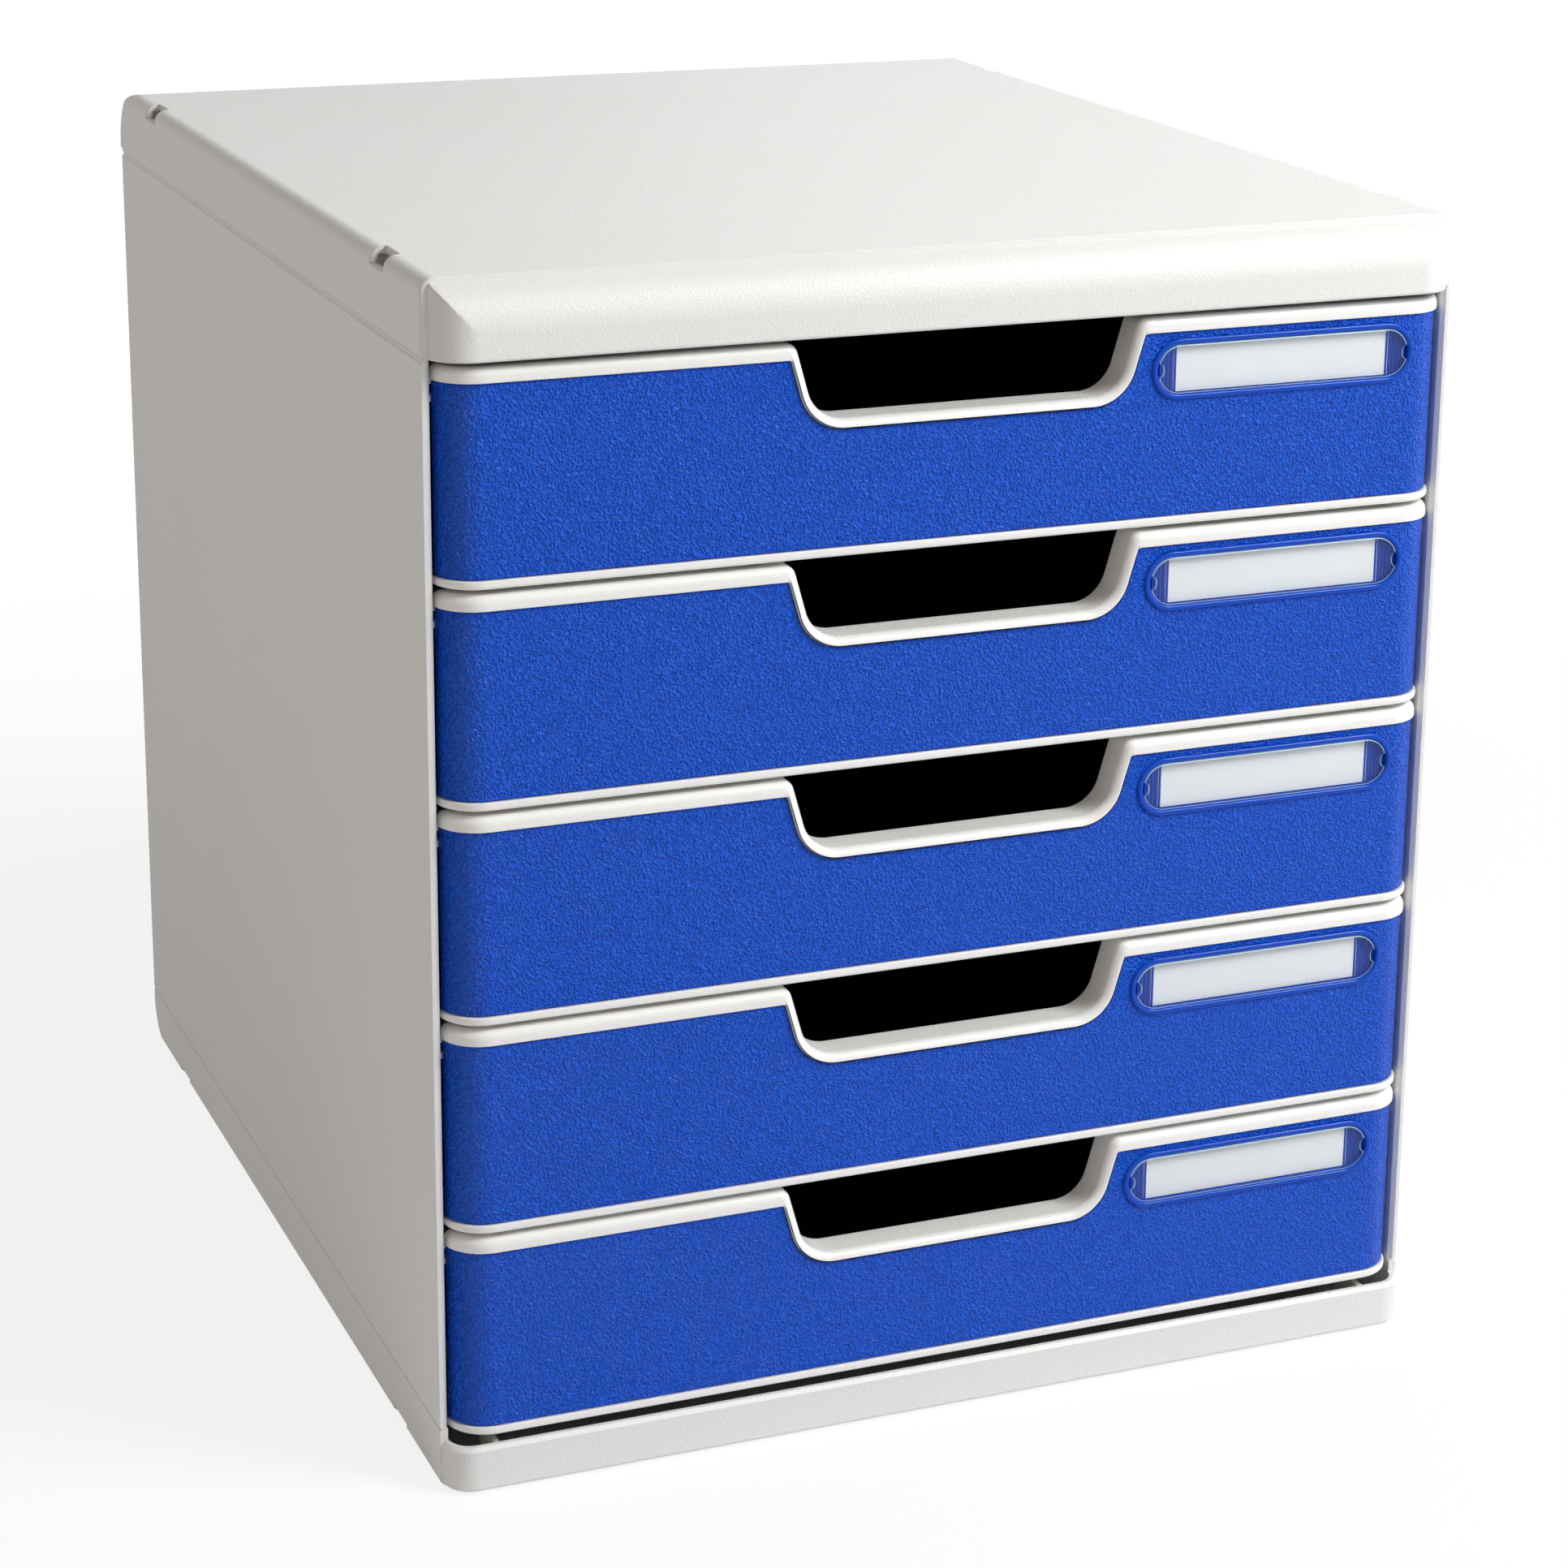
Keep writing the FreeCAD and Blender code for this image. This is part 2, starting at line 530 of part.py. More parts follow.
def make_back_panel():
    """Rear wall with a sunk field outside and stiffening ribs inside."""
    x = INNER_X - JOIN_GAP
    y1 = SIDE_REAR_Y
    y0 = y1 - WALL
    z0 = BASE_SEAM_Z + JOIN_GAP
    z1 = LID_SEAM_Z - JOIN_GAP
    wall = block(-x, x, y0, y1, z0, z1)
    field = block(-x + BACK_FRAME, x - BACK_FRAME, y1 - BACK_SINK, y1 + OVERCUT,
                  z0 + BACK_FRAME, z1 - BACK_FRAME)
    ribs = []
    pitch = 2 * x / (BACK_RIB_COUNT + 1)
    margin = TONGUE_HEIGHT + WALL
    for index in range(BACK_RIB_COUNT):
        rib_x = -x + (index + 1) * pitch
        ribs.append(block(rib_x - RIB_THICKNESS / 2, rib_x + RIB_THICKNESS / 2,
                          y0 - BACK_RIB_DEPTH, y0 + EMBED, z0 + margin, z1 - margin))
    return fuse_all([wall] + ribs).cut(field).removeSplitter()


# ---------------------------------------------------------------- drawer front
def front_plan(offset, z0, z1, y_end):
    """Block with the front moulding's outline, seen from above, moved inwards by an offset."""
    x = FRONT_HALF_WIDTH - offset
    y0 = RIM_Y + offset
    radius = FRONT_CORNER_RADIUS - offset
    y1 = y_end + radius
    outline = [
        Part.makeLine(Vector(-x, y1, z0), Vector(-x, y0 + radius, z0)),
        arc(Vector(radius - x, y0 + radius, z0), radius, 180, 270, (X_AXIS, Y_AXIS)),
        Part.makeLine(Vector(radius - x, y0, z0), Vector(x - radius, y0, z0)),
        arc(Vector(x - radius, y0 + radius, z0), radius, 270, 360, (X_AXIS, Y_AXIS)),
        Part.makeLine(Vector(x, y0 + radius, z0), Vector(x, y1, z0)),
        Part.makeLine(Vector(x, y1, z0), Vector(-x, y1, z0)),
    ]
    full = prism(outline, Vector(0, 0, z1 - z0))
    return full.common(block(-x, x, y0, y_end, z0, z1))


def cutout_prism(shift, top):
    """Finger cut-out swept through the front, its outline moved inwards by a shift, open at a height."""
    slope = math.radians(CUTOUT_SLOPE)
    radius = CUTOUT_CORNER_RADIUS - shift
    bottom = CUTOUT_BOTTOM + shift
    y = FRONT_Y - OVERCUT
    centre_z = bottom + radius
    tangent_z = centre_z - radius * math.sin(slope)
    tangent_x = cutout_side(shift, tangent_z)
    centre_x = tangent_x - radius * math.cos(slope)
    low = Vector(centre_x, y, bottom)
    tangent = Vector(tangent_x, y, tangent_z)
    high = Vector(cutout_side(shift, top), y, top)
    half = [Part.makeLine(Vector(0, y, bottom), low),
            arc(Vector(centre_x, y, centre_z), radius, -90, -CUTOUT_SLOPE, (X_AXIS, Z_AXIS)),
            Part.makeLine(tangent, high),
            Part.makeLine(high, Vector(0, y, top)),
            Part.makeLine(Vector(0, y, top), Vector(0, y, bottom))]
    right = prism(half, Vector(0, CUTOUT_SWEEP, 0))
    return right.fuse(mirrored(right)).removeSplitter()


def cutout_side(shift, z):
    """Where the cut-out's sloping side is at a height, after moving it inwards, square to itself."""
    slope = math.radians(CUTOUT_SLOPE)
    return CUTOUT_HALF_WIDTH - shift / math.cos(slope) + (z - PANEL_TOP) * math.tan(slope)


def lip_cutter():
    """What rounds the right convex corner between the cut-out's side and the top rim."""
    slope = math.radians(CUTOUT_SLOPE)
    corner_x = cutout_side(CUTOUT_RIM, FRONT_HEIGHT)
    reach = CUTOUT_LIP_RADIUS * math.tan((math.pi / 2 - slope) / 2)
    y = FRONT_Y - OVERCUT
    top = FRONT_HEIGHT
    start = Vector(corner_x - reach * math.sin(slope), y, top - reach * math.cos(slope))
    end = Vector(corner_x + reach, y, top)
    centre = Vector(end.x, y, top - CUTOUT_LIP_RADIUS)
    inside = corner_x - reach
    outline = [
        Part.makeLine(Vector(inside, y, top + OVERCUT), Vector(inside, y, start.z)),
        Part.makeLine(Vector(inside, y, start.z), start),
        arc(centre, CUTOUT_LIP_RADIUS, 180 - CUTOUT_SLOPE, 90, (X_AXIS, Z_AXIS)),
        Part.makeLine(end, Vector(end.x, y, top + OVERCUT)),
        Part.makeLine(Vector(end.x, y, top + OVERCUT), Vector(inside, y, top + OVERCUT)),
    ]
    return prism(outline, Vector(0, CUTOUT_SWEEP, 0))


def panel_region(gap):
    """Region of the blue panel as seen from the front, less a gap all round."""
    region = block(-WIDTH, WIDTH, FRONT_Y - OVERCUT, FRONT_BACK_Y + OVERCUT,
                   BOTTOM_RIM + gap, PANEL_TOP - gap)
    return region.cut(cutout_prism(-gap, PANEL_TOP + OVERCUT))


def make_front_frame():
    """Light grey front moulding: bevelled rims, recess for the panel, hollow back, scoop and lugs."""
    above = FRONT_HEIGHT + OVERCUT
    frame = front_plan(0, 0, FRONT_HEIGHT, FRONT_BACK_Y)
    opening = cutout_prism(CUTOUT_RIM, above)
    frame = frame.cut([opening] + both_sides(lip_cutter())).removeSplitter()
    rim_x = FLAT_HALF_WIDTH - NEAR
    rim = edges_where(frame, lambda c: c.y < RIM_Y + NEAR and c.z > NEAR and abs(c.x) < rim_x)
    frame = frame.makeChamfer(RIM_BEVEL, rim)
    frame = frame.makeChamfer(BOTTOM_BEVEL, edges_where(frame, lambda c: c.z < NEAR and c.y < RIM_Y + NEAR))

    web = front_plan(WEB_DEPTH, -OVERCUT, above, FRONT_BACK_Y + OVERCUT)
    recess = panel_region(0).cut(web)
    hollow = front_plan(WEB_BACK_DEPTH, FRONT_SHELL, FRONT_HEIGHT - FRONT_SHELL, FRONT_BACK_Y + OVERCUT)
    scoop = cutout_prism(CUTOUT_RIM - FRONT_SHELL, above)
    return fuse_all([frame.cut([recess, hollow.cut(scoop)])] + lugs(0, LUG_LENGTH))


def lugs(grow, length):
    """Snap lugs behind the web, or the slots for them when grown."""
    x = TRAY_HALF_WIDTH - LUG_INSET
    half_width = LUG_WIDTH / 2 + grow
    half_height = LUG_HEIGHT / 2 + grow
    placed = []
    for height in LUG_HEIGHTS:
        z = TRAY_LIFT + height
        placed += both_sides(block(x - half_width, x + half_width, WEB_BACK_Y - EMBED, WEB_BACK_Y + length,
                                   z - half_height, z + half_height))
    return placed


def pill(length, height, y0, y1):
    """Pill-shaped block at the label's place."""
    radius = height / 2
    x0 = LABEL_X - length / 2 + radius
    x1 = LABEL_X + length / 2 - radius
    outline = [
        Part.makeLine(Vector(x0, y0, LABEL_Z - radius), Vector(x1, y0, LABEL_Z - radius)),
        arc(Vector(x1, y0, LABEL_Z), radius, -90, 90, (X_AXIS, Z_AXIS)),
        Part.makeLine(Vector(x1, y0, LABEL_Z + radius), Vector(x0, y0, LABEL_Z + radius)),
        arc(Vector(x0, y0, LABEL_Z), radius, 90, 270, (X_AXIS, Z_AXIS)),
    ]
    return prism(outline, Vector(0, y1 - y0, 0))


def make_front_panel():
    """Blue panel: wraps round both corners, follows the cut-out, and carries the label pocket."""
    above = FRONT_HEIGHT + OVERCUT
    skin = front_plan(PANEL_SINK, -OVERCUT, above, FRONT_BACK_Y)
    core = front_plan(PANEL_SINK + PANEL_THICKNESS, -OVERCUT, above, FRONT_BACK_Y + OVERCUT)
    panel = skin.cut(core).common(panel_region(PANEL_GAP))
    rim = pill(LABEL_LENGTH + 2 * LABEL_RIM, LABEL_HEIGHT + 2 * LABEL_RIM, RIM_Y, PANEL_Y + EMBED)
    rim = rim.makeChamfer(LABEL_RIM_BEVEL, edges_where(rim, lambda c: c.y < RIM_Y + NEAR))
    pocket = pill(LABEL_LENGTH, LABEL_HEIGHT, RIM_Y - OVERCUT, POCKET_Y)
    return fuse_all([panel, rim]).cut(pocket).removeSplitter()


def make_label_window():
    """Clear pill-shaped lens in the pocket, in front of the card."""
    y1 = POCKET_Y - CARD_THICKNESS
    return pill(LABEL_LENGTH - 2 * WINDOW_GAP, LABEL_HEIGHT - 2 * WINDOW_GAP, y1 - WINDOW_THICKNESS, y1)


def make_label_card():
    """Paper card on the pocket's floor."""
    half_length = CARD_LENGTH / 2
    half_height = CARD_HEIGHT / 2
    return block(LABEL_X - half_length, LABEL_X + half_length, POCKET_Y - CARD_THICKNESS, POCKET_Y,
                 LABEL_Z - half_height, LABEL_Z + half_height)


def tray_block(inset, z1):
    """The tray's outer form, or its hollow when inset by the wall."""
    x = TRAY_HALF_WIDTH - inset
    y0 = WEB_BACK_Y + inset
    y1 = TRAY_REAR_Y - inset
    z0 = TRAY_LIFT + inset
    body = block(-x, x, y0, y1, z0, z1)
    rear = edges_where(body, lambda c: c.y > y1 - NEAR and abs(c.x) > x - NEAR)
    body = body.makeFillet(TRAY_CORNER_RADIUS - inset, rear)
    bevel = TRAY_BOTTOM_BEVEL - inset * math.tan(math.radians(22.5))
    return body.makeChamfer(bevel, edges_where(body, lambda c: c.z < z0 + NEAR and c.y > y0 + NEAR))


def make_tray():
    """Black tray with side flanges, floor ribs, stop tabs and a front wall cut out round the scoop."""
    above = TRAY_TOP + OVERCUT
    tray = tray_block(0, TRAY_TOP).cut(tray_block(TRAY_WALL, above))

    x = TRAY_HALF_WIDTH
    added = both_sides(block(x - EMBED, FLANGE_X, FLANGE_FRONT_Y, TRAY_REAR_Y - TRAY_CORNER_RADIUS,
                             FLANGE_Z, TRAY_TOP))
    tab_x = FLANGE_X - STOP_TAB_EDGE
    added += both_sides(block(tab_x - STOP_TAB_WIDTH, tab_x, STOP_TAB_FRONT_Y,
                              STOP_TAB_FRONT_Y + STOP_TAB_LENGTH,
                              TRAY_TOP - EMBED, TRAY_TOP + STOP_TAB_HEIGHT))
    floor_z = TRAY_LIFT + TRAY_WALL
    for rib_x in FLOOR_RIB_X:
        added.append(block(rib_x - FLOOR_RIB_WIDTH / 2, rib_x + FLOOR_RIB_WIDTH / 2,
                           WEB_BACK_Y + FLOOR_RIB_MARGIN, TRAY_REAR_Y - FLOOR_RIB_MARGIN,
                           floor_z - EMBED, floor_z + FLOOR_RIB_HEIGHT))
    tray = fuse_all([tray] + added)

    front_wall = block(-x, x, WEB_BACK_Y - OVERCUT, WEB_BACK_Y + TRAY_WALL + OVERCUT, TRAY_LIFT, above)
    scoop = cutout_prism(CUTOUT_RIM - FRONT_SHELL - SCOOP_CLEARANCE, above)
    return tray.cut([scoop.common(front_wall)] + lugs(LUG_CLEARANCE, LUG_LENGTH)).removeSplitter()


# ---------------------------------------------------------------- assembly
def build():
    """Every piece in its place, by name."""
    side = make_side_panel()
    pieces = {
        "top_cover": make_top_cover(),
        "right_side_panel": side,
        "left_side_panel": mirrored(side),
        "back_panel": make_back_panel(),
        "base": make_base(),
        "rubber_feet": make_feet(),
    }
    drawer = {
        "tray": make_tray(),
        "front_frame": make_front_frame(),
        "front_panel": make_front_panel(),
        "label_window": make_label_window(),
        "label_card": make_label_card(),
    }
    for number in range(1, DRAWER_COUNT + 1):
        z = front_z(DRAWER_COUNT - number)
        for name, shape in drawer.items():
            placed = shape.copy()
            placed.translate(Vector(0, 0, z))
            pieces["drawer_%d_%s" % (number, name)] = placed
    return pieces


def main():
    """Write one STEP file for each piece."""
    os.makedirs("parts", exist_ok=True)
    for name, shape in build().items():
        shape.exportStep("parts/%s.step" % name)
        print(name, len(shape.Solids), shape.isValid())


main()
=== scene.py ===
"""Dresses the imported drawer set: rolled drawer fronts, grained blue panels, labels and finishes.

Lengths are written in millimetres and turned to metres where a mesh is made.
+X is to the right seen from the front, -Y is the way the drawers open, +Z is up, and z = 0 is
the desk.
"""

import logging
import math
from dataclasses import dataclass, field
from enum import Enum
from typing import Callable, Iterator, Sequence

import bmesh
import bpy
from mathutils import Matrix, Vector


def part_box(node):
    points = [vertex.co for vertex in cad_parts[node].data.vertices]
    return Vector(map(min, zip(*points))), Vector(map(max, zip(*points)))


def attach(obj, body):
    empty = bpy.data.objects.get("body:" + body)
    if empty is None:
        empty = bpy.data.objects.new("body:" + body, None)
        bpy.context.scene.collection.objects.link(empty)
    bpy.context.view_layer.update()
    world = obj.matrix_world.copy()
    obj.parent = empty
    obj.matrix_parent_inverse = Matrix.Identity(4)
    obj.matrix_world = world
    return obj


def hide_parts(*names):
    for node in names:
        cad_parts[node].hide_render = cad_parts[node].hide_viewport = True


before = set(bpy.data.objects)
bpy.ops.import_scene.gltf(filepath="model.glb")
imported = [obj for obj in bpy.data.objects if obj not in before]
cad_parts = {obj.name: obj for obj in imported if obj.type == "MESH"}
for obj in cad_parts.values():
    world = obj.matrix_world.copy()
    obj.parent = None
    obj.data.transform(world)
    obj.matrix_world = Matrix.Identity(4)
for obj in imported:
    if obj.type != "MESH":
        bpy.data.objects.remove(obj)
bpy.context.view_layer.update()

MM = 0.001
DRAWER_COUNT = 5
SMOOTH_ANGLE = math.radians(38)     # edges sharper than this stay sharp
FLAT_FACE_WEIGHT = 100              # how far large flat faces rule the shading
MERGE_MM = 0.002                    # points closer than this become one

log = logging.getLogger("drawer_set")

Point = tuple[float, float]
Rows = list[list[Vector]]
DOWN: Point = (0.0, -1.0)


class Slot(Enum):
    """Material slots of the record."""

    LIGHT_GREY = "light_grey_plastic"
    BLUE = "blue_plastic"
    BLACK = "black_plastic"
    CLEAR = "clear_plastic"
    CARD = "white_card"
    RUBBER = "rubber"


class Side(Enum):
    """Left and right half of a symmetric piece."""

    LEFT = -1
    RIGHT = 1


# ---------------------------------------------------------------- colour and nodes
def linear(code: str) -> tuple[float, float, float, float]:
    """Turns an sRGB hex colour to linear RGBA.

    Args:
        code: colour as "#RRGGBB".

    Returns:
        Linear red, green, blue and an alpha of 1.
    """
    def channel(value: float) -> float:
        """One sRGB channel as linear light."""
        return value / 12.92 if value <= 0.04045 else ((value + 0.055) / 1.055) ** 2.4

    red, green, blue = (channel(int(code[i:i + 2], 16) / 255) for i in (1, 3, 5))
    return red, green, blue, 1.0


def add_node(tree: bpy.types.NodeTree, kind: str, settings: dict, links: dict) -> bpy.types.Node:
    """Adds one shader node.

    Args:
        tree: the material's node tree.
        kind: the node's type name.
        settings: input sockets or node properties by name, with their values.
        links: input sockets by name or number, each with the output that feeds it.

    Returns:
        The new node.
    """
    node = tree.nodes.new(kind)
    for name, value in settings.items():
        if isinstance(name, int) or name in node.inputs:
            node.inputs[name].default_value = value
        else:
            setattr(node, name, value)
    for name, output in links.items():
        tree.links.new(output, node.inputs[name])
    return node


def new_tree(name: str) -> tuple[bpy.types.Material, bpy.types.NodeTree, bpy.types.NodeSocket]:
    """Starts an empty node material.

    Args:
        name: the material's name.

    Returns:
        The material, its tree and the surface socket to fill.
    """
    material = bpy.data.materials.new(name)
    material.use_nodes = True
    material.node_tree.nodes.clear()
    output = material.node_tree.nodes.new("ShaderNodeOutputMaterial")
    return material, material.node_tree, output.inputs["Surface"]


# ---------------------------------------------------------------- finishes
@dataclass(frozen=True)
class MouldedFinish:
    """An opaque material out of a textured steel mould: cloudy colour, fine grain, soft edges."""

    name: str
    slot: Slot
    colour: str
    flow_colour: str
    roughness: float = 0.48
    gloss_spread: float = 0.05
    grain_mm: float = 0.8           # about 0.5 mm on such a mould; drawn coarser so that it shows
    grain_depth_mm: float = 0.12
    flow_mm: float = 60.0
    ior: float = 1.59
    edge_mm: float = 0.25

    def material(self) -> bpy.types.Material:
        """Builds the finish.

        Returns:
            The node material, ready for a mesh.
        """
        material, tree, surface = new_tree(self.name)
        place = add_node(tree, "ShaderNodeTexCoord", {}, {}).outputs["Object"]
        flow = add_node(tree, "ShaderNodeTexNoise",
                        {"Scale": 1 / (self.flow_mm * MM), "Detail": 3.0}, {"Vector": place})
        colour = add_node(tree, "ShaderNodeMix", {"data_type": "RGBA"}, {0: flow.outputs["Fac"]})
        colour.inputs[6].default_value = linear(self.colour)
        colour.inputs[7].default_value = linear(self.flow_colour)
        grain = add_node(tree, "ShaderNodeTexNoise",
                         {"Scale": 1 / (self.grain_mm * MM), "Detail": 2.0, "Roughness": 0.55},
                         {"Vector": place})
        rough = add_node(tree, "ShaderNodeMapRange",
                         {"To Min": self.roughness - self.gloss_spread,
                          "To Max": self.roughness + self.gloss_spread},
                         {"Value": grain.outputs["Fac"]})
        edge = add_node(tree, "ShaderNodeBevel", {"samples": 6, "Radius": self.edge_mm * MM}, {})
        bump = add_node(tree, "ShaderNodeBump",
                        {"Strength": 1.0, "Distance": self.grain_depth_mm * MM},
                        {"Height": grain.outputs["Fac"], "Normal": edge.outputs["Normal"]})
        shader = add_node(tree, "ShaderNodeBsdfPrincipled", {"IOR": self.ior},
                          {"Base Color": colour.outputs[2], "Roughness": rough.outputs["Result"],
                           "Normal": bump.outputs["Normal"]})
        tree.links.new(shader.outputs["BSDF"], surface)
        return material


@dataclass(frozen=True)
class MouldedPolystyrene(MouldedFinish):
    """High-impact polystyrene, injection moulded.

    To the eye: an opaque, evenly coloured satin whose fine grain breaks highlights into a soft
    sheen, with the faint cloudiness that flowing plastic leaves.
    """


@dataclass(frozen=True)
class MouldedRubber(MouldedFinish):
    """Synthetic rubber, cured in a matt mould.

    To the eye: near black without a clear highlight, a little lighter where its edges round off.
    """

    roughness: float = 0.8
    grain_mm: float = 0.6
    grain_depth_mm: float = 0.03
    ior: float = 1.52
    edge_mm: float = 0.3


@dataclass(frozen=True)
class LeatherGrainPanel:
    """Blue polystyrene moulded against a leather-grain steel.

    To the eye: crisp worm-shaped pebbles a little under a millimetre across, each with its own
    highlight, so that the panel sparkles and looks paler where light grazes it. The crests carry
    a painted highlight: they are coloured a lighter blue than the valleys.
    """

    name: str
    slot: Slot
    colour: str
    # painted highlight: the lighter blue that the pebbles' crests are coloured
    crest_painted_highlight_colour: str
    roughness: float = 0.22
    smoother: float = 0.08          # the fine grain takes the roughness down by this
    rougher: float = 0.1            # and up by this
    pebble_mm: float = 0.75
    pebble_depth_mm: float = 0.8    # deeper than the real grain, so that its highlights show
    bend_pebbles: float = 1.6       # size and reach of the bends, in pebbles
    fine_share: float = 0.35        # the fine grain's size and height, in pebbles
    ior: float = 1.4
    specular: float = 0.3

    def material(self) -> bpy.types.Material:
        """Builds the finish.

        Returns:
            The node material, ready for a mesh.
        """
        material, tree, surface = new_tree(self.name)
        place = add_node(tree, "ShaderNodeTexCoord", {}, {}).outputs["Object"]
        bend = self.bend_pebbles * self.pebble_mm * MM
        drift = add_node(tree, "ShaderNodeTexNoise", {"Scale": 1 / bend, "Detail": 1.0},
                         {"Vector": place})
        bent = add_node(tree, "ShaderNodeVectorMath", {"operation": "SCALE", "Scale": bend},
                        {0: drift.outputs["Color"]})
        moved = add_node(tree, "ShaderNodeVectorMath", {"operation": "ADD"},
                         {0: place, 1: bent.outputs["Vector"]})
        pebbles = add_node(tree, "ShaderNodeTexVoronoi",
                           {"feature": "SMOOTH_F1", "Scale": 1 / (self.pebble_mm * MM),
                            "Smoothness": 0.2}, {"Vector": moved.outputs["Vector"]})
        fine = add_node(tree, "ShaderNodeTexNoise",
                        {"Scale": 1 / (self.fine_share * self.pebble_mm * MM), "Detail": 2.0},
                        {"Vector": moved.outputs["Vector"]})
        height = add_node(tree, "ShaderNodeMath", {"operation": "MULTIPLY_ADD", 1: self.fine_share},
                          {0: fine.outputs["Fac"], 2: pebbles.outputs["Distance"]})
        # the pebbles' height decides where the painted highlight colour goes
        crest = add_node(tree, "ShaderNodeMapRange", {"From Min": 0.25, "From Max": 0.75},
                         {"Value": height.outputs["Value"]})
        colour = add_node(tree, "ShaderNodeMix", {"data_type": "RGBA"},
                          {0: crest.outputs["Result"]})
        colour.inputs[6].default_value = linear(self.colour)
        colour.inputs[7].default_value = linear(self.crest_painted_highlight_colour)
        rough = add_node(tree, "ShaderNodeMapRange",
                         {"To Min": self.roughness - self.smoother,
                          "To Max": self.roughness + self.rougher},
                         {"Value": fine.outputs["Fac"]})
        bump = add_node(tree, "ShaderNodeBump",
                        {"Strength": 1.0, "Distance": self.pebble_depth_mm * MM},
                        {"Height": height.outputs["Value"]})
        shader = add_node(tree, "ShaderNodeBsdfPrincipled",
                          {"IOR": self.ior, "Specular IOR Level": self.specular},
                          {"Base Color": colour.outputs[2], "Roughness": rough.outputs["Result"],
                           "Normal": bump.outputs["Normal"]})
        tree.links.new(shader.outputs["BSDF"], surface)
        return material


@dataclass(frozen=True)
class ClearLens:
    """Clear general-purpose polystyrene, injection moulded and polished.

    To the eye: nearly invisible face on, with a faint cool tint and a sharp gloss; its cut edges
    gather light and look sea green.
    """

    name: str
    slot: Slot
    tint: str
    opacity: float
    roughness: float = 0.06
    gloss_spread: float = 0.04
    ior: float = 1.59
    wave_mm: float = 9.0
    wave_depth_mm: float = 0.02

    def material(self) -> bpy.types.Material:
        """Builds the finish.

        Returns:
            The node material, ready for a mesh.
        """
        material, tree, surface = new_tree(self.name)
        place = add_node(tree, "ShaderNodeTexCoord", {}, {}).outputs["Object"]
        wave = add_node(tree, "ShaderNodeTexNoise",
                        {"Scale": 1 / (self.wave_mm * MM), "Detail": 1.0}, {"Vector": place})
        rough = add_node(tree, "ShaderNodeMapRange",
                         {"To Min": self.roughness, "To Max": self.roughness + self.gloss_spread},
                         {"Value": wave.outputs["Fac"]})
        bump = add_node(tree, "ShaderNodeBump",
                        {"Strength": 0.3, "Distance": self.wave_depth_mm * MM},
                        {"Height": wave.outputs["Fac"]})
        shader = add_node(tree, "ShaderNodeBsdfPrincipled",
                          {"Base Color": linear(self.tint), "IOR": self.ior, "Alpha": self.opacity},
                          {"Roughness": rough.outputs["Result"], "Normal": bump.outputs["Normal"]})
        tree.links.new(shader.outputs["BSDF"], surface)
        return material


@dataclass(frozen=True)
class UncoatedCard:
    """Uncoated white card cut to a label.

    To the eye: dead matt, very slightly cool, with the cloudy formation of pressed fibres.
    """

    name: str = "uncoated_card"
    slot: Slot = Slot.CARD
    colour: str = "#E3E6E8"
    shade_colour: str = "#DDE1E3"
    roughness: float = 0.85
    ior: float = 1.5
    fibre_mm: float = 0.8
    fibre_depth_mm: float = 0.02
    cloud_mm: float = 14.0

    def material(self) -> bpy.types.Material:
        """Builds the finish.

        Returns:
            The node material, ready for a mesh.
        """
        material, tree, surface = new_tree(self.name)
        place = add_node(tree, "ShaderNodeTexCoord", {}, {}).outputs["Object"]
        cloud = add_node(tree, "ShaderNodeTexNoise",
                         {"Scale": 1 / (self.cloud_mm * MM), "Detail": 4.0}, {"Vector": place})
        fibre = add_node(tree, "ShaderNodeTexNoise",
                         {"Scale": 1 / (self.fibre_mm * MM), "Detail": 3.0}, {"Vector": place})
        colour = add_node(tree, "ShaderNodeMix", {"data_type": "RGBA"}, {0: cloud.outputs["Fac"]})
        colour.inputs[6].default_value = linear(self.colour)
        colour.inputs[7].default_value = linear(self.shade_colour)
        bump = add_node(tree, "ShaderNodeBump",
                        {"Strength": 0.5, "Distance": self.fibre_depth_mm * MM},
                        {"Height": fibre.outputs["Fac"]})
        shader = add_node(tree, "ShaderNodeBsdfPrincipled",
                          {"Roughness": self.roughness, "IOR": self.ior},
                          {"Base Color": colour.outputs[2], "Normal": bump.outputs["Normal"]})
        tree.links.new(shader.outputs["BSDF"], surface)
        return material


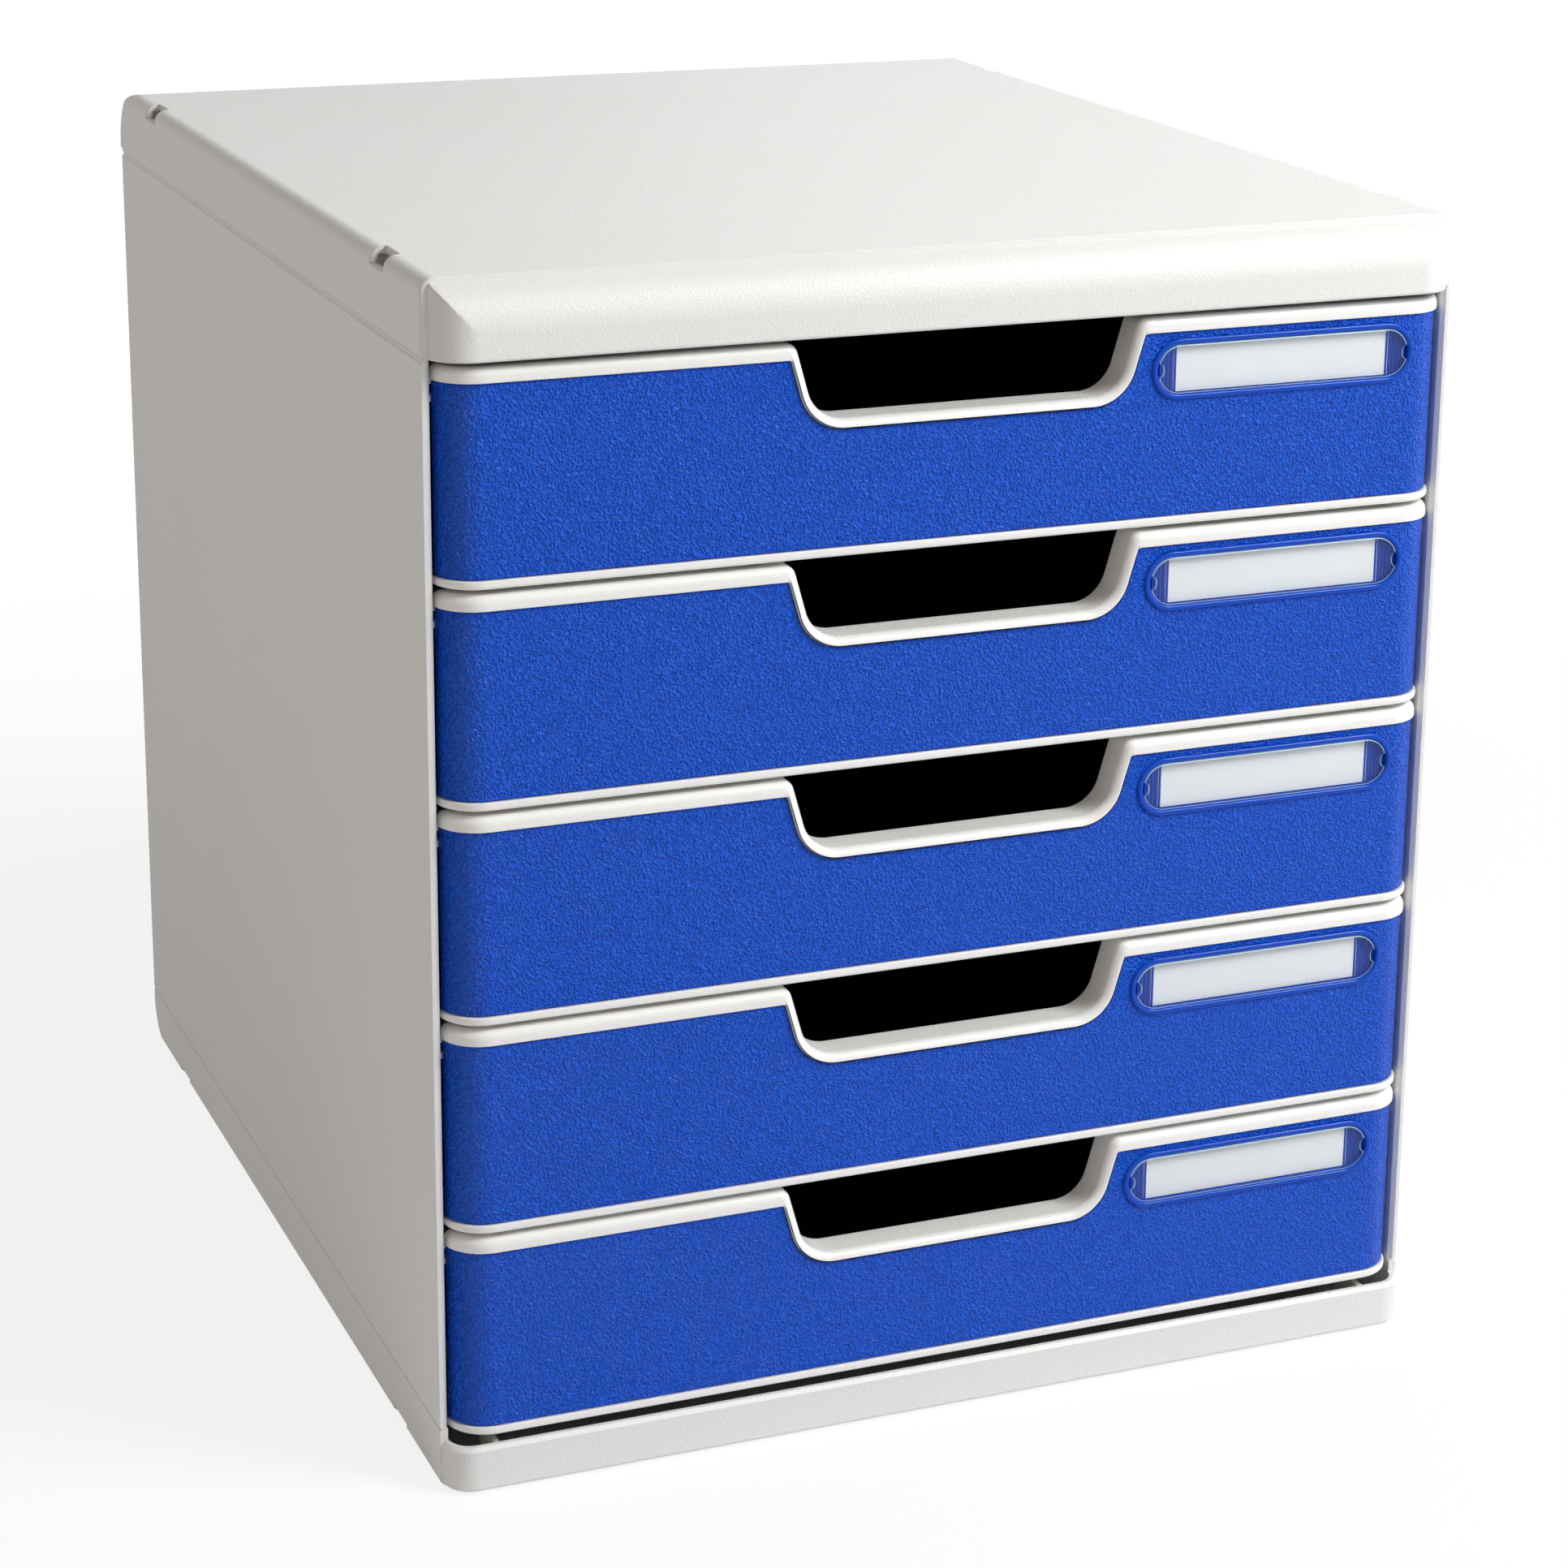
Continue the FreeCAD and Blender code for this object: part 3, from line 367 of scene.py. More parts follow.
class Finishes:
    """Every finish of the drawer set, each made once."""

    def __init__(self) -> None:
        """Builds the materials."""
        grey, grey_flow = "#E6E5E3", "#E2E1DE"
        self.housing = MouldedPolystyrene(
            "light_grey_polystyrene_fine_grain", Slot.LIGHT_GREY, grey, grey_flow).material()
        # the lid's edges are rounded wider in its mould
        self.lid = MouldedPolystyrene(
            "light_grey_polystyrene_fine_grain_soft_edges", Slot.LIGHT_GREY, grey, grey_flow,
            edge_mm=1.3).material()
        # the rims come off polished steel, so they are smooth and a little glossier;
        # their grey is lighter than the housing's, a painted highlight for the light the rolled
        # rims catch
        self.rims = MouldedPolystyrene(
            "light_grey_polystyrene_smooth_painted_highlight", Slot.LIGHT_GREY, "#EFEEEC", "#EBEAE7",
            roughness=0.26, grain_depth_mm=0.003, edge_mm=0.15).material()
        # the grained blue; its second colour is the crests' painted highlight
        self.blue = LeatherGrainPanel(
            "blue_polystyrene_leather_grain", Slot.BLUE, "#003DB2", "#0056D6").material()
        # the label pocket's rim and flutes are polished; the low IOR keeps their sheen thin
        self.blue_smooth = MouldedPolystyrene(
            "blue_polystyrene_smooth", Slot.BLUE, "#0042B2", "#0046B8",
            roughness=0.18, grain_depth_mm=0.002, ior=1.3, edge_mm=0.1).material()
        self.black = MouldedPolystyrene(
            "black_polystyrene_satin", Slot.BLACK, "#1C1919", "#201D1D",
            roughness=0.45, grain_depth_mm=0.03).material()
        self.lens = ClearLens(
            "clear_polystyrene_polished", Slot.CLEAR, "#E4F4F6", opacity=0.03).material()
        # the lens's cut edges: the sea green that clear plastic shows through its thickness, made
        # pale and nearly opaque as a painted highlight for the light that the edges gather
        self.lens_edge_painted_highlight = ClearLens(
            "clear_polystyrene_edge_painted_highlight", Slot.CLEAR, "#B4DCE0", opacity=0.7,
            roughness=0.12).material()
        self.card = UncoatedCard().material()
        self.rubber = MouldedRubber(
            "black_rubber_matt", Slot.RUBBER, "#161616", "#1C1C1B").material()


# ---------------------------------------------------------------- mesh helpers
def turn(degrees: float) -> Point:
    """Cosine and sine of an angle in degrees."""
    return math.cos(math.radians(degrees)), math.sin(math.radians(degrees))


def steps(start: float, end: float, count: int) -> list[float]:
    """Evenly spaced values, both ends included, in count intervals."""
    return [start + (end - start) * i / count for i in range(count + 1)]


def between(a: Point, b: Point, t: float) -> Point:
    """Point part of the way from a to b."""
    return a[0] + (b[0] - a[0]) * t, a[1] + (b[1] - a[1]) * t


def loft(rows: Rows, closed_path: bool = False) -> bmesh.types.BMesh:
    """Skins closed sections into one solid.

    Args:
        rows: sections along a path, in millimetres, each a closed loop of the same number of
            points.
        closed_path: joins the last section to the first one; otherwise both ends are capped.

    Returns:
        The mesh, in metres, with its faces turned outwards.
    """
    mesh = bmesh.new()
    made = [[mesh.verts.new(point * MM) for point in row] for row in rows]
    count = len(rows[0])
    pairs = list(zip(made, made[1:]))
    if closed_path:
        pairs.append((made[-1], made[0]))
    for one, two in pairs:
        for i in range(count):
            j = (i + 1) % count
            mesh.faces.new((one[i], one[j], two[j], two[i]))
    if not closed_path:
        mesh.faces.new(made[0])
        mesh.faces.new(reversed(made[-1]))
    bmesh.ops.remove_doubles(mesh, verts=mesh.verts, dist=MERGE_MM * MM)
    bmesh.ops.recalc_face_normals(mesh, faces=mesh.faces)
    return mesh


def to_object(name: str, mesh: bmesh.types.BMesh,
              materials: Sequence[bpy.types.Material]) -> bpy.types.Object:
    """Turns a bmesh to a smooth-shaded object whose flat faces stay flat.

    Args:
        name: the piece's name.
        mesh: the mesh, which is freed.
        materials: finishes, in the order of the faces' material numbers.

    Returns:
        The new object, linked to the scene.
    """
    data = bpy.data.meshes.new(name)
    mesh.to_mesh(data)
    mesh.free()
    for material in materials:
        data.materials.append(material)
    data.shade_smooth()
    data.set_sharp_from_angle(angle=SMOOTH_ANGLE)
    piece = bpy.data.objects.new(name, data)
    bpy.context.scene.collection.objects.link(piece)
    weighted = piece.modifiers.new("flat_faces_stay_flat", "WEIGHTED_NORMAL")
    weighted.keep_sharp = True
    weighted.weight = FLAT_FACE_WEIGHT
    return piece


def apply_modifiers(piece: bpy.types.Object) -> None:
    """Replaces a piece's mesh by what its modifiers make of it.

    Args:
        piece: the piece, which loses its modifiers.
    """
    graph = bpy.context.evaluated_depsgraph_get()
    made = bpy.data.meshes.new_from_object(piece.evaluated_get(graph))
    piece.modifiers.clear()
    piece.data = made


def add_mesh(target: bmesh.types.BMesh, part: bmesh.types.BMesh) -> None:
    """Adds one mesh to another.

    Args:
        target: the mesh that grows.
        part: the mesh to add, which is freed.
    """
    data = bpy.data.meshes.new("part")
    part.to_mesh(data)
    part.free()
    target.from_mesh(data)
    bpy.data.meshes.remove(data)


def place_piece(piece: bpy.types.Object, body: str, node: str, slot: Slot) -> None:
    """Makes a piece ride on its body in place of its CAD node, and reports it.

    Args:
        piece: the finished piece.
        body: name of the body that carries it.
        node: name of the CAD node it stands for.
        slot: the record's slot for its finish; not used.
    """
    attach(piece, body)
    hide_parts(node)
    log.info("%s: %d faces, rides on %s", piece.name, len(piece.data.polygons), body)


def dress_node(node: str, material: bpy.types.Material) -> None:
    """Gives a CAD node its finish and reports it.

    Args:
        node: the CAD node's name.
        material: the finish.
    """
    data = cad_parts[node].data
    data.materials.clear()
    data.materials.append(material)
    log.info("%s: finish %s", node, material.name)


# ---------------------------------------------------------------- drawer front
@dataclass(frozen=True)
class RimPoint:
    """One place along the upper edge of a drawer front, flattened: x along the front, z up."""

    outer: Point        # the rim's outer edge
    inner: Point        # its edge at the blue panel
    away: Point         # direction from the outer edge into the plastic


@dataclass
class FrontShape:
    """The form that a front's grey moulding and its blue panel share, in millimetres."""

    node: str
    top_rim: float = 4.1
    bottom_rim: float = 2.3
    rim_roll: float = 2.4
    bottom_roll: float = 1.0
    inner_round: float = 0.4
    corner_radius: float = 11.4
    shell: float = 2.0
    panel_sink: float = 0.7
    panel_thickness: float = 2.4
    panel_seat_gap: float = 0.05
    panel_gap: float = 0.15
    panel_edge_round: float = 0.4
    panel_corner: float = 0.9
    panel_wing: float = 90.7
    cutout_depth: float = 18.4
    cutout_corner: float = 12.5
    cutout_slope: float = 16.0
    cutout_rim: float = 2.5
    cutout_lip: float = 3.2
    arc_steps: int = 18             # intervals along the cut-out's lower corner
    slope_steps: int = 4            # along its sloping side
    lip_steps: int = 10             # round the lip above it
    corner_steps: int = 14          # round the front's vertical corner
    half_width: float = field(init=False)
    front_y: float = field(init=False)
    back_y: float = field(init=False)
    bottom_z: float = field(init=False)
    height: float = field(init=False)
    flat: float = field(init=False)             # half the width between the vertical corners
    panel_top: float = field(init=False)
    web: float = field(init=False)              # depth of the web behind the panel
    web_back: float = field(init=False)

    def __post_init__(self) -> None:
        """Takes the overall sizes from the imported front."""
        low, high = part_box(self.node)
        self.half_width = (high.x - low.x) / 2 / MM
        self.front_y = low.y / MM
        self.back_y = high.y / MM
        self.bottom_z = low.z / MM
        self.height = (high.z - low.z) / MM
        clip = (self.front_y + self.corner_radius - self.back_y) / self.corner_radius
        self.flat = self.half_width - self.corner_radius * math.sin(math.acos(clip))
        self.panel_top = self.height - self.top_rim
        self.web = self.panel_sink + self.panel_thickness + self.panel_seat_gap
        self.web_back = self.web + self.shell

    def wrap(self, x: float, z: float, depth: float, back: bool = False) -> Vector:
        """Bends a flattened place round the front's vertical corners.

        Args:
            x: place along the front; past the flat part it runs from 0 to 1 round the corner.
            z: height above the front's bottom edge.
            depth: distance behind the rim's face, square to it.
            back: puts the place on the moulding's rear edge instead, straight behind.

        Returns:
            The place in the frame.
        """
        side = math.copysign(1, x)
        along = max(abs(x) - self.flat, 0)
        if along == 0:
            y = self.back_y if back else self.front_y + depth
            return Vector((x, y, self.bottom_z + z))
        radius = self.corner_radius - depth
        centre_y = self.front_y + self.corner_radius
        angle = along * math.acos((centre_y - self.back_y) / radius)
        y = self.back_y if back else centre_y - radius * math.cos(angle)
        return Vector((side * (self.flat + radius * math.sin(angle)), y, self.bottom_z + z))

    def cutout_side(self, shift: float, z: float) -> float:
        """Finds the cut-out's sloping side at a height.

        Args:
            shift: distance that the side is moved inwards first.
            z: height above the front's bottom edge.

        Returns:
            The side's distance from the front's middle.
        """
        cosine, sine = turn(self.cutout_slope)
        half = self.half_panel_opening() - shift / cosine
        return half + (z - self.panel_top) * sine / cosine

    def half_panel_opening(self) -> float:
        """Half of the cut-out's width at the panel's top edge."""
        return self.flat + self.corner_radius - self.panel_wing

    def scoop_points(self) -> list[RimPoint]:
        """Walks the cut-out's bottom, from its middle round the lower corner.

        Returns:
            The places, in order.
        """
        cosine, sine = turn(self.cutout_slope)
        bottom = self.panel_top - self.cutout_depth
        centre_z = bottom + self.cutout_corner
        tangent_z = centre_z - self.cutout_corner * sine
        centre_x = self.cutout_side(0, tangent_z) - self.cutout_corner * cosine
        inner, outer = self.cutout_corner, self.cutout_corner - self.cutout_rim
        points = [RimPoint((0.0, bottom + self.cutout_rim), (0.0, bottom), DOWN)]
        for angle in steps(-90, -self.cutout_slope, self.arc_steps):
            c, s = turn(angle)
            points.append(RimPoint((centre_x + outer * c, centre_z + outer * s),
                                   (centre_x + inner * c, centre_z + inner * s), (c, s)))
        return points

    def lip_points(self, first: RimPoint) -> list[RimPoint]:
        """Walks up the cut-out's sloping side and round the lip above it.

        Args:
            first: the last place of the cut-out's lower corner.

        Returns:
            The places after it, in order.
        """
        cosine, sine = turn(self.cutout_slope)
        half_turn = math.tan(math.radians((90 - self.cutout_slope) / 2))
        reach = self.cutout_lip * half_turn
        corner_x = self.cutout_side(self.cutout_rim, self.height)
        lip = (corner_x + reach, self.height - self.cutout_lip)
        start = (corner_x - reach * sine, self.height - reach * cosine)
        inset = self.panel_corner * half_turn
        knee_x = self.cutout_side(0, self.panel_top)
        knee = (knee_x + inset, self.panel_top - self.panel_corner)
        knee_start = (knee_x - inset * sine, self.panel_top - inset * cosine)
        points = []
        for t in steps(0, 1, self.slope_steps)[1:-1]:
            points.append(RimPoint(between(first.outer, start, t),
                                   between(first.inner, knee_start, t), (cosine, -sine)))
        for angle in steps(180 - self.cutout_slope, 90, self.lip_steps):
            c, s = turn(angle)
            points.append(RimPoint(
                (lip[0] + self.cutout_lip * c, lip[1] + self.cutout_lip * s),
                (knee[0] + self.panel_corner * c, knee[1] + self.panel_corner * s), (-c, -s)))
        return points

    def top_points(self) -> list[RimPoint]:
        """Walks the straight upper edge's end and the vertical corner, to the rear edge."""
        return [RimPoint((self.flat + t, self.height), (self.flat + t, self.panel_top), DOWN)
                for t in steps(0, 1, self.corner_steps)]

    def rim_path(self) -> list[RimPoint]:
        """Walks the upper edge of the right half, from the cut-out's middle to the rear edge.

        Returns:
            The places, in order.
        """
        scoop = self.scoop_points()
        return scoop + self.lip_points(scoop[-1]) + self.top_points()

    def both_halves(self, section: Callable[[RimPoint, Side], list[Vector]]) -> Rows:
        """Lays out the sections of both halves.

        Args:
            section: makes one section at a place of the upper edge.

        Returns:
            The sections, from the left rear edge to the right one.
        """
        path = self.rim_path()
        left = [section(point, Side.LEFT) for point in reversed(path[1:])]
        return left + [section(point, Side.RIGHT) for point in path]


@dataclass
class FrontMoulding:
    """Light grey front moulding: rolled rims, lips and scoop round a web behind the blue panel."""

    shape: FrontShape
    roll_steps: int = 9
    bottom_steps: int = 5
    small_steps: int = 3

    def section(self, point: RimPoint, side: Side) -> list[Vector]:
        """One closed section, from the rear of the top rim down to the bottom rim and back inside.

        Args:
            point: place along the upper edge.
            side: half of the front.

        Returns:
            The section's points.
        """
        form = self.shape
        sign = side.value
        outer, inner, away = point.outer, point.inner, point.away
        wide = math.dist(outer, inner)
        toward = ((outer[0] - inner[0]) / wide, (outer[1] - inner[1]) / wide)

        def off(distance: float) -> Point:
            """The outer edge moved into the plastic."""
            return outer[0] + away[0] * distance, outer[1] + away[1] * distance

        def at(place: Point, depth: float, back: bool = False) -> Vector:
            """A flattened place in the frame."""
            return form.wrap(sign * place[0], place[1], depth, back)

        roll = form.rim_roll
        points = [at(outer, roll, True)]
        for angle in steps(0, 90, self.roll_steps):
            c, s = turn(angle)
            points.append(at(off(roll - roll * c), roll - roll * s))
        small = form.inner_round
        for angle in steps(90, 180, self.small_steps):
            c, s = turn(angle)
            reach = small + small * c
            points.append(at((inner[0] + toward[0] * reach, inner[1] + toward[1] * reach),
                             small - small * s))
        points.append(at(inner, form.web))

        x = inner[0]
        edge = form.bottom_rim
        points.append(at((x, edge), form.web))
        for angle in steps(180, 90, self.small_steps):
            c, s = turn(angle)
            points.append(at((x, edge - small - small * c), small - small * s))
        low = form.bottom_roll
        for angle in steps(90, 0, self.bottom_steps):
            c, s = turn(angle)
            points.append(at((x, low - low * c), low - low * s))
        points.append(at((x, 0.0), low, True))
        points.append(at((x, form.shell), form.web_back, True))
        points.append(at((x, form.shell), form.web_back))
        points.append(at(off(form.shell), form.web_back))
        points.append(at(off(form.shell), form.web_back, True))
        return points

    def build(self, number: int, finishes: Finishes) -> None:
        """Makes the moulding and puts it on its drawer.

        Args:
            number: the drawer's number.
            finishes: every finish.
        """
        rows = self.shape.both_halves(self.section)
        # the moulding wears the rims' finish, whose lighter grey is a painted highlight
        piece = to_object("front_moulding_%d" % number, loft(rows), [finishes.rims])
        place_piece(piece, "drawer_%d" % number, self.shape.node, Slot.LIGHT_GREY)


@dataclass
class LabelShape:
    """Label pocket, lens and card, in millimetres, placed on the flattened front."""

    shape: FrontShape
    side_margin: float = 12.75
    below_top: float = 10.0
    length: float = 74.3
    height: float = 13.1
    pocket_depth: float = 1.6
    card_length: float = 63.6
    card_height: float = 12.2
    card_thickness: float = 0.3
    flute_pitch: float = 1.1        # about 0.9 mm on such a panel; drawn coarser so that it shows
    flute_depth: float = 0.6
    flute_steps: int = 6            # intervals along one flute
    flute_tuck: float = 1.0         # the flutes start this far under the card
    floor_tuck: float = 0.3         # and reach this far under the rim and below the floor
    lens_thickness: float = 1.6
    card_gap: float = 0.05
    lens_gap: float = 0.1
    lens_round: float = 0.35
    notch_half: float = 1.9
    notch_depth: float = 1.5
    end_steps: int = 24             # intervals round one end of the pocket
    lens_end_steps: int = 60        # and of the lens, whose nail notch is small
    x: float = field(init=False)
    z: float = field(init=False)

    def __post_init__(self) -> None:
        """Works out the pocket's middle."""
        self.x = self.shape.flat + self.shape.corner_radius - self.side_margin - self.length / 2
        self.z = self.shape.panel_top - self.below_top

    def outline(self, shrink: float, count: int) -> Iterator[tuple[Point, Point]]:
        """Places and outward normals round the pill, counted from the lower left.

        Args:
            shrink: distance that the pill is smaller by, all round.
            count: intervals along each round end.

        Yields:
            Each place with its outward normal.
        """
        radius = self.height / 2 - shrink
        half = self.length / 2 - self.height / 2
        for side, start in ((Side.RIGHT, -90), (Side.LEFT, 90)):
            for angle in steps(start, start + 180, count):
                c, s = turn(angle)
                yield (self.x + side.value * half + radius * c, self.z + radius * s), (c, s)

    def pocket_outline(self) -> Iterator[tuple[Point, Point]]:
        """Places and outward normals round the pocket."""
        return self.outline(0.0, self.end_steps)

    def lens_outline(self) -> Iterator[tuple[Point, Point]]:
        """Places and outward normals round the lens, with a nail notch at both ends.

        Yields:
            Each place with its outward normal.
        """
        for (x, z), normal in self.outline(self.lens_gap, self.lens_end_steps):
            off = abs(z - self.z) / self.notch_half
            bite = self.notch_depth * math.sqrt(1 - off * off) if off < 1 else 0.0
            yield (x - math.copysign(bite, x - self.x), z), normal


@dataclass
class BluePanel:
    """Blue panel with rounded edges and a raised, smooth rim round its label pocket."""

    shape: FrontShape
    label: LabelShape
    rim_width: float = 1.6
    rim_proud: float = 0.7
    rim_round: float = 0.65
    foot_depth: float = 0.3
    hole_margin: float = 0.8
    cutter_reach: float = 3.0       # the pocket's cutter starts this far in front
    edge_steps: int = 4
    crest_steps: int = 5

    def section(self, point: RimPoint, side: Side) -> list[Vector]:
        """One closed section of the panel, top to bottom in front and back behind.

        Args:
            point: place along the upper edge.
            side: half of the front.

        Returns:
            The section's points.
        """
        form = self.shape
        sign = side.value
        top, away = point.inner, point.away
        face = form.panel_sink
        back = face + form.panel_thickness
        gap, small = form.panel_gap, form.panel_edge_round

        def at(distance: float, depth: float) -> Vector:
            """The upper edge moved into the panel."""
            x = top[0] + away[0] * distance
            return form.wrap(sign * x, top[1] + away[1] * distance, depth)

        points = [at(gap, back)]
        for angle in steps(0, 90, self.edge_steps):
            c, s = turn(angle)
            points.append(at(gap + small - small * c, face + small - small * s))
        x = sign * (top[0] + away[0] * (gap + small))
        low = form.bottom_rim + gap
        for angle in steps(90, 0, self.edge_steps):
            c, s = turn(angle)
            points.append(form.wrap(x, low + small - small * c, face + small - small * s))
        points.append(form.wrap(x, low, back))
        return points

    def rim(self) -> bmesh.types.BMesh:
        """Ring round the pocket, up from the blue face, over a round crest and down to the floor.

        Returns:
            The ring's mesh.
        """
        face = self.shape.front_y + self.shape.panel_sink
        crest = face - self.rim_proud
        floor = face + self.label.pocket_depth
        radius = self.rim_round
        profile = [(self.rim_width, face + self.foot_depth)]
        for angle in steps(0, 90, self.crest_steps):
            c, s = turn(angle)
            profile.append((self.rim_width - radius + radius * c, crest + radius - radius * s))
        for angle in steps(90, 180, self.crest_steps):
            c, s = turn(angle)
            profile.append((radius + radius * c, crest + radius - radius * s))
        profile.append((0.0, floor + self.foot_depth))
        profile.append((self.rim_width, floor + self.foot_depth))
        rows = []
        for (x, z), (along, upward) in self.label.pocket_outline():
            rows.append([Vector((x + along * d, y, self.shape.bottom_z + z + upward * d))
                         for d, y in profile])
        return loft(rows, closed_path=True)

    def floor(self) -> bmesh.types.BMesh:
        """Pocket floor with upright flutes at both ends of the card.

        Returns:
            The mesh of both ends.
        """
        label = self.label
        floor_y = self.shape.front_y + self.shape.panel_sink + label.pocket_depth
        back_y = floor_y + label.floor_tuck
        middle = self.shape.bottom_z + label.z
        half = label.height / 2 + label.floor_tuck
        start = label.card_length / 2 - label.flute_tuck
        end = label.length / 2 + label.floor_tuck
        count = round((end - start) / label.flute_pitch)
        mesh = bmesh.new()
        for side in Side:
            rows = []
            for along in steps(start, end, count * label.flute_steps):
                phase = (along - start) / label.flute_pitch
                y = floor_y - label.flute_depth * abs(math.sin(math.pi * phase))
                x = label.x + side.value * along
                low, high = middle - half, middle + half
                rows.append([Vector((x, y, low)), Vector((x, y, high)),
                             Vector((x, back_y, high)), Vector((x, back_y, low))])
            add_mesh(mesh, loft(rows))
        return mesh

    def build(self, number: int, finishes: Finishes) -> None:
        """Makes the panel with its pocket rim and flutes, and puts it on its drawer.

        Args:
            number: the drawer's number.
            finishes: every finish.
        """
        name = "blue_panel_%d" % number
        both = [finishes.blue, finishes.blue_smooth]
        panel = to_object(name, loft(self.shape.both_halves(self.section)), both)
        cutter = to_object(name + "_cutter", self.pocket_cutter(), [])
        cutter.modifiers.clear()
        hole = panel.modifiers.new("label_pocket", "BOOLEAN")
        hole.operation = "DIFFERENCE"
        hole.solver = "EXACT"
        hole.object = cutter
        apply_modifiers(panel)
        bpy.data.objects.remove(cutter)
        mesh = bmesh.new()
        mesh.from_mesh(panel.data)
        grained = len(mesh.faces)
        add_mesh(mesh, self.rim())
        add_mesh(mesh, self.floor())
        mesh.faces.ensure_lookup_table()
        for face in mesh.faces[grained:]:
            face.material_index = both.index(finishes.blue_smooth)
        bpy.data.objects.remove(panel)
        whole = to_object(name, mesh, both)
        place_piece(whole, "drawer_%d" % number, "drawer_%d_front_panel" % number, Slot.BLUE)

    def pocket_cutter(self) -> bmesh.types.BMesh:
        """Pill that sinks the pocket into the panel, its edge hidden under the rim.

        Returns:
            The cutter's mesh.
        """
        face = self.shape.front_y + self.shape.panel_sink
        floor = face + self.label.pocket_depth
        margin = self.hole_margin
        rows = []
        for y in (face - self.cutter_reach, floor):
            rows.append([Vector((x + along * margin, y, self.shape.bottom_z + z + upward * margin))
                         for (x, z), (along, upward) in self.label.pocket_outline()])
        return loft(rows)


@dataclass
class LabelInsert:
    """Card and clear lens in the label pocket."""

    shape: FrontShape
    label: LabelShape
    round_steps: int = 3
    card_steps: int = 12
    edge_facing: tuple[float, float] = (0.1, 0.99)      # how far forward a cut edge's faces point

    def lens(self) -> bmesh.types.BMesh:
        """Clear pill with broken edges.

        Returns:
            The lens's mesh.
        """
        label = self.label
        face = self.shape.front_y + self.shape.panel_sink
        back = face + label.pocket_depth - label.card_thickness - label.lens_gap
        front = back - label.lens_thickness
        small = label.lens_round
        profile = [(0.0, back)]
        for angle in steps(0, 90, self.round_steps):
            c, s = turn(angle)
            profile.append((small - small * c, front + small - small * s))
        rows = []
        for inset, y in profile:
            rows.append([Vector((x - along * inset, y, self.shape.bottom_z + z - upward * inset))
                         for (x, z), (along, upward) in label.lens_outline()])
        return loft(rows)

    def card(self) -> bmesh.types.BMesh:
        """Flat label card, clear of the pocket's floor.

        Returns:
            The card's mesh.
        """
        label = self.label
        back = self.shape.front_y + self.shape.panel_sink + label.pocket_depth - label.card_gap
        z = self.shape.bottom_z + label.z
        half = label.card_height / 2
        front = back - label.card_thickness + label.card_gap
        rows = []
        for along in steps(-label.card_length / 2, label.card_length / 2, self.card_steps):
            x = label.x + along
            rows.append([Vector((x, front, z - half)), Vector((x, front, z + half)),
                         Vector((x, back, z + half)), Vector((x, back, z - half))])
        return loft(rows)

    def build(self, number: int, finishes: Finishes) -> None:
        """Makes card and lens and puts them on their drawer.

        Args:
            number: the drawer's number.
            finishes: every finish.
        """
        body = "drawer_%d" % number
        card = to_object("label_card_%d" % number, self.card(), [finishes.card])
        place_piece(card, body, body + "_label_card", Slot.CARD)
        mesh = self.lens()
        both = [finishes.lens, finishes.lens_edge_painted_highlight]
        # the cut edges' faces take the pale sea green with its painted highlight
        least, most = self.edge_facing
        for face in mesh.faces:
            if least < abs(face.normal.y) < most:
                face.material_index = both.index(finishes.lens_edge_painted_highlight)
        lens = to_object("label_lens_%d" % number, mesh, both)
        place_piece(lens, body, body + "_label_window", Slot.CLEAR)


@dataclass
class Drawer:
    """One drawer: black tray, grey front moulding, blue panel, card and lens."""

    number: int

    def build(self, finishes: Finishes) -> None:
        """Builds the drawer's pieces.

        Args:
            finishes: every finish.
        """
        body = "drawer_%d" % self.number
        shape = FrontShape(body + "_front_frame")
        label = LabelShape(shape)
        dress_node(body + "_tray", finishes.black)
        FrontMoulding(shape).build(self.number, finishes)
        BluePanel(shape, label).build(self.number, finishes)
        LabelInsert(shape, label).build(self.number, finishes)


@dataclass
class Housing:
    """Lid, side walls, rear wall, base and feet."""

    grained: tuple[str, ...] = ("left_side_panel", "right_side_panel", "back_panel", "base")

    def build(self, finishes: Finishes) -> None:
        """Dresses the housing's mouldings and its feet.

        Args:
            finishes: every finish.
        """
        for node in self.grained:
            dress_node(node, finishes.housing)
        dress_node("top_cover", finishes.lid)
        dress_node("rubber_feet", finishes.rubber)


# ---------------------------------------------------------------- stage
@dataclass(frozen=True)
class StudioCamera:
    """Camera in front, to the left and above; places in millimetres, angles in degrees."""

    azimuth: float = -22.369
    elevation: float = 15.739
    roll: float = 0.646
    place: tuple[float, float, float] = (-394.02, -1027.52, 493.67)
    image_px: float = 1932.0
    focal_px: float = 4699.45
    axis_px: tuple[float, float] = (1010.0, 740.0)
    sensor_mm: float = 36.0

    def build(self) -> None:
        """Makes the camera and looks through it."""
        data = bpy.data.cameras.new("studio_camera")
        data.sensor_width = self.sensor_mm
        data.lens = self.focal_px / self.image_px * self.sensor_mm
        data.shift_x = 0.5 - self.axis_px[0] / self.image_px
        data.shift_y = self.axis_px[1] / self.image_px - 0.5
        data.clip_start = 0.05
        data.clip_end = 60.0
        ca, sa = turn(self.azimuth)
        ce, se = turn(self.elevation)
        cr, sr = turn(self.roll)
        back = Vector((sa * ce, -ca * ce, se))
        level = Vector((ca, sa, 0))
        upright = back.cross(level)
        right = level * cr + upright * sr
        up = upright * cr - level * sr
        camera = bpy.data.objects.new("studio_camera", data)
        axes = Matrix((right, up, back)).transposed().to_4x4()
        camera.matrix_world = Matrix.Translation(Vector(self.place) * MM) @ axes
        bpy.context.scene.collection.objects.link(camera)
        bpy.context.scene.camera = camera


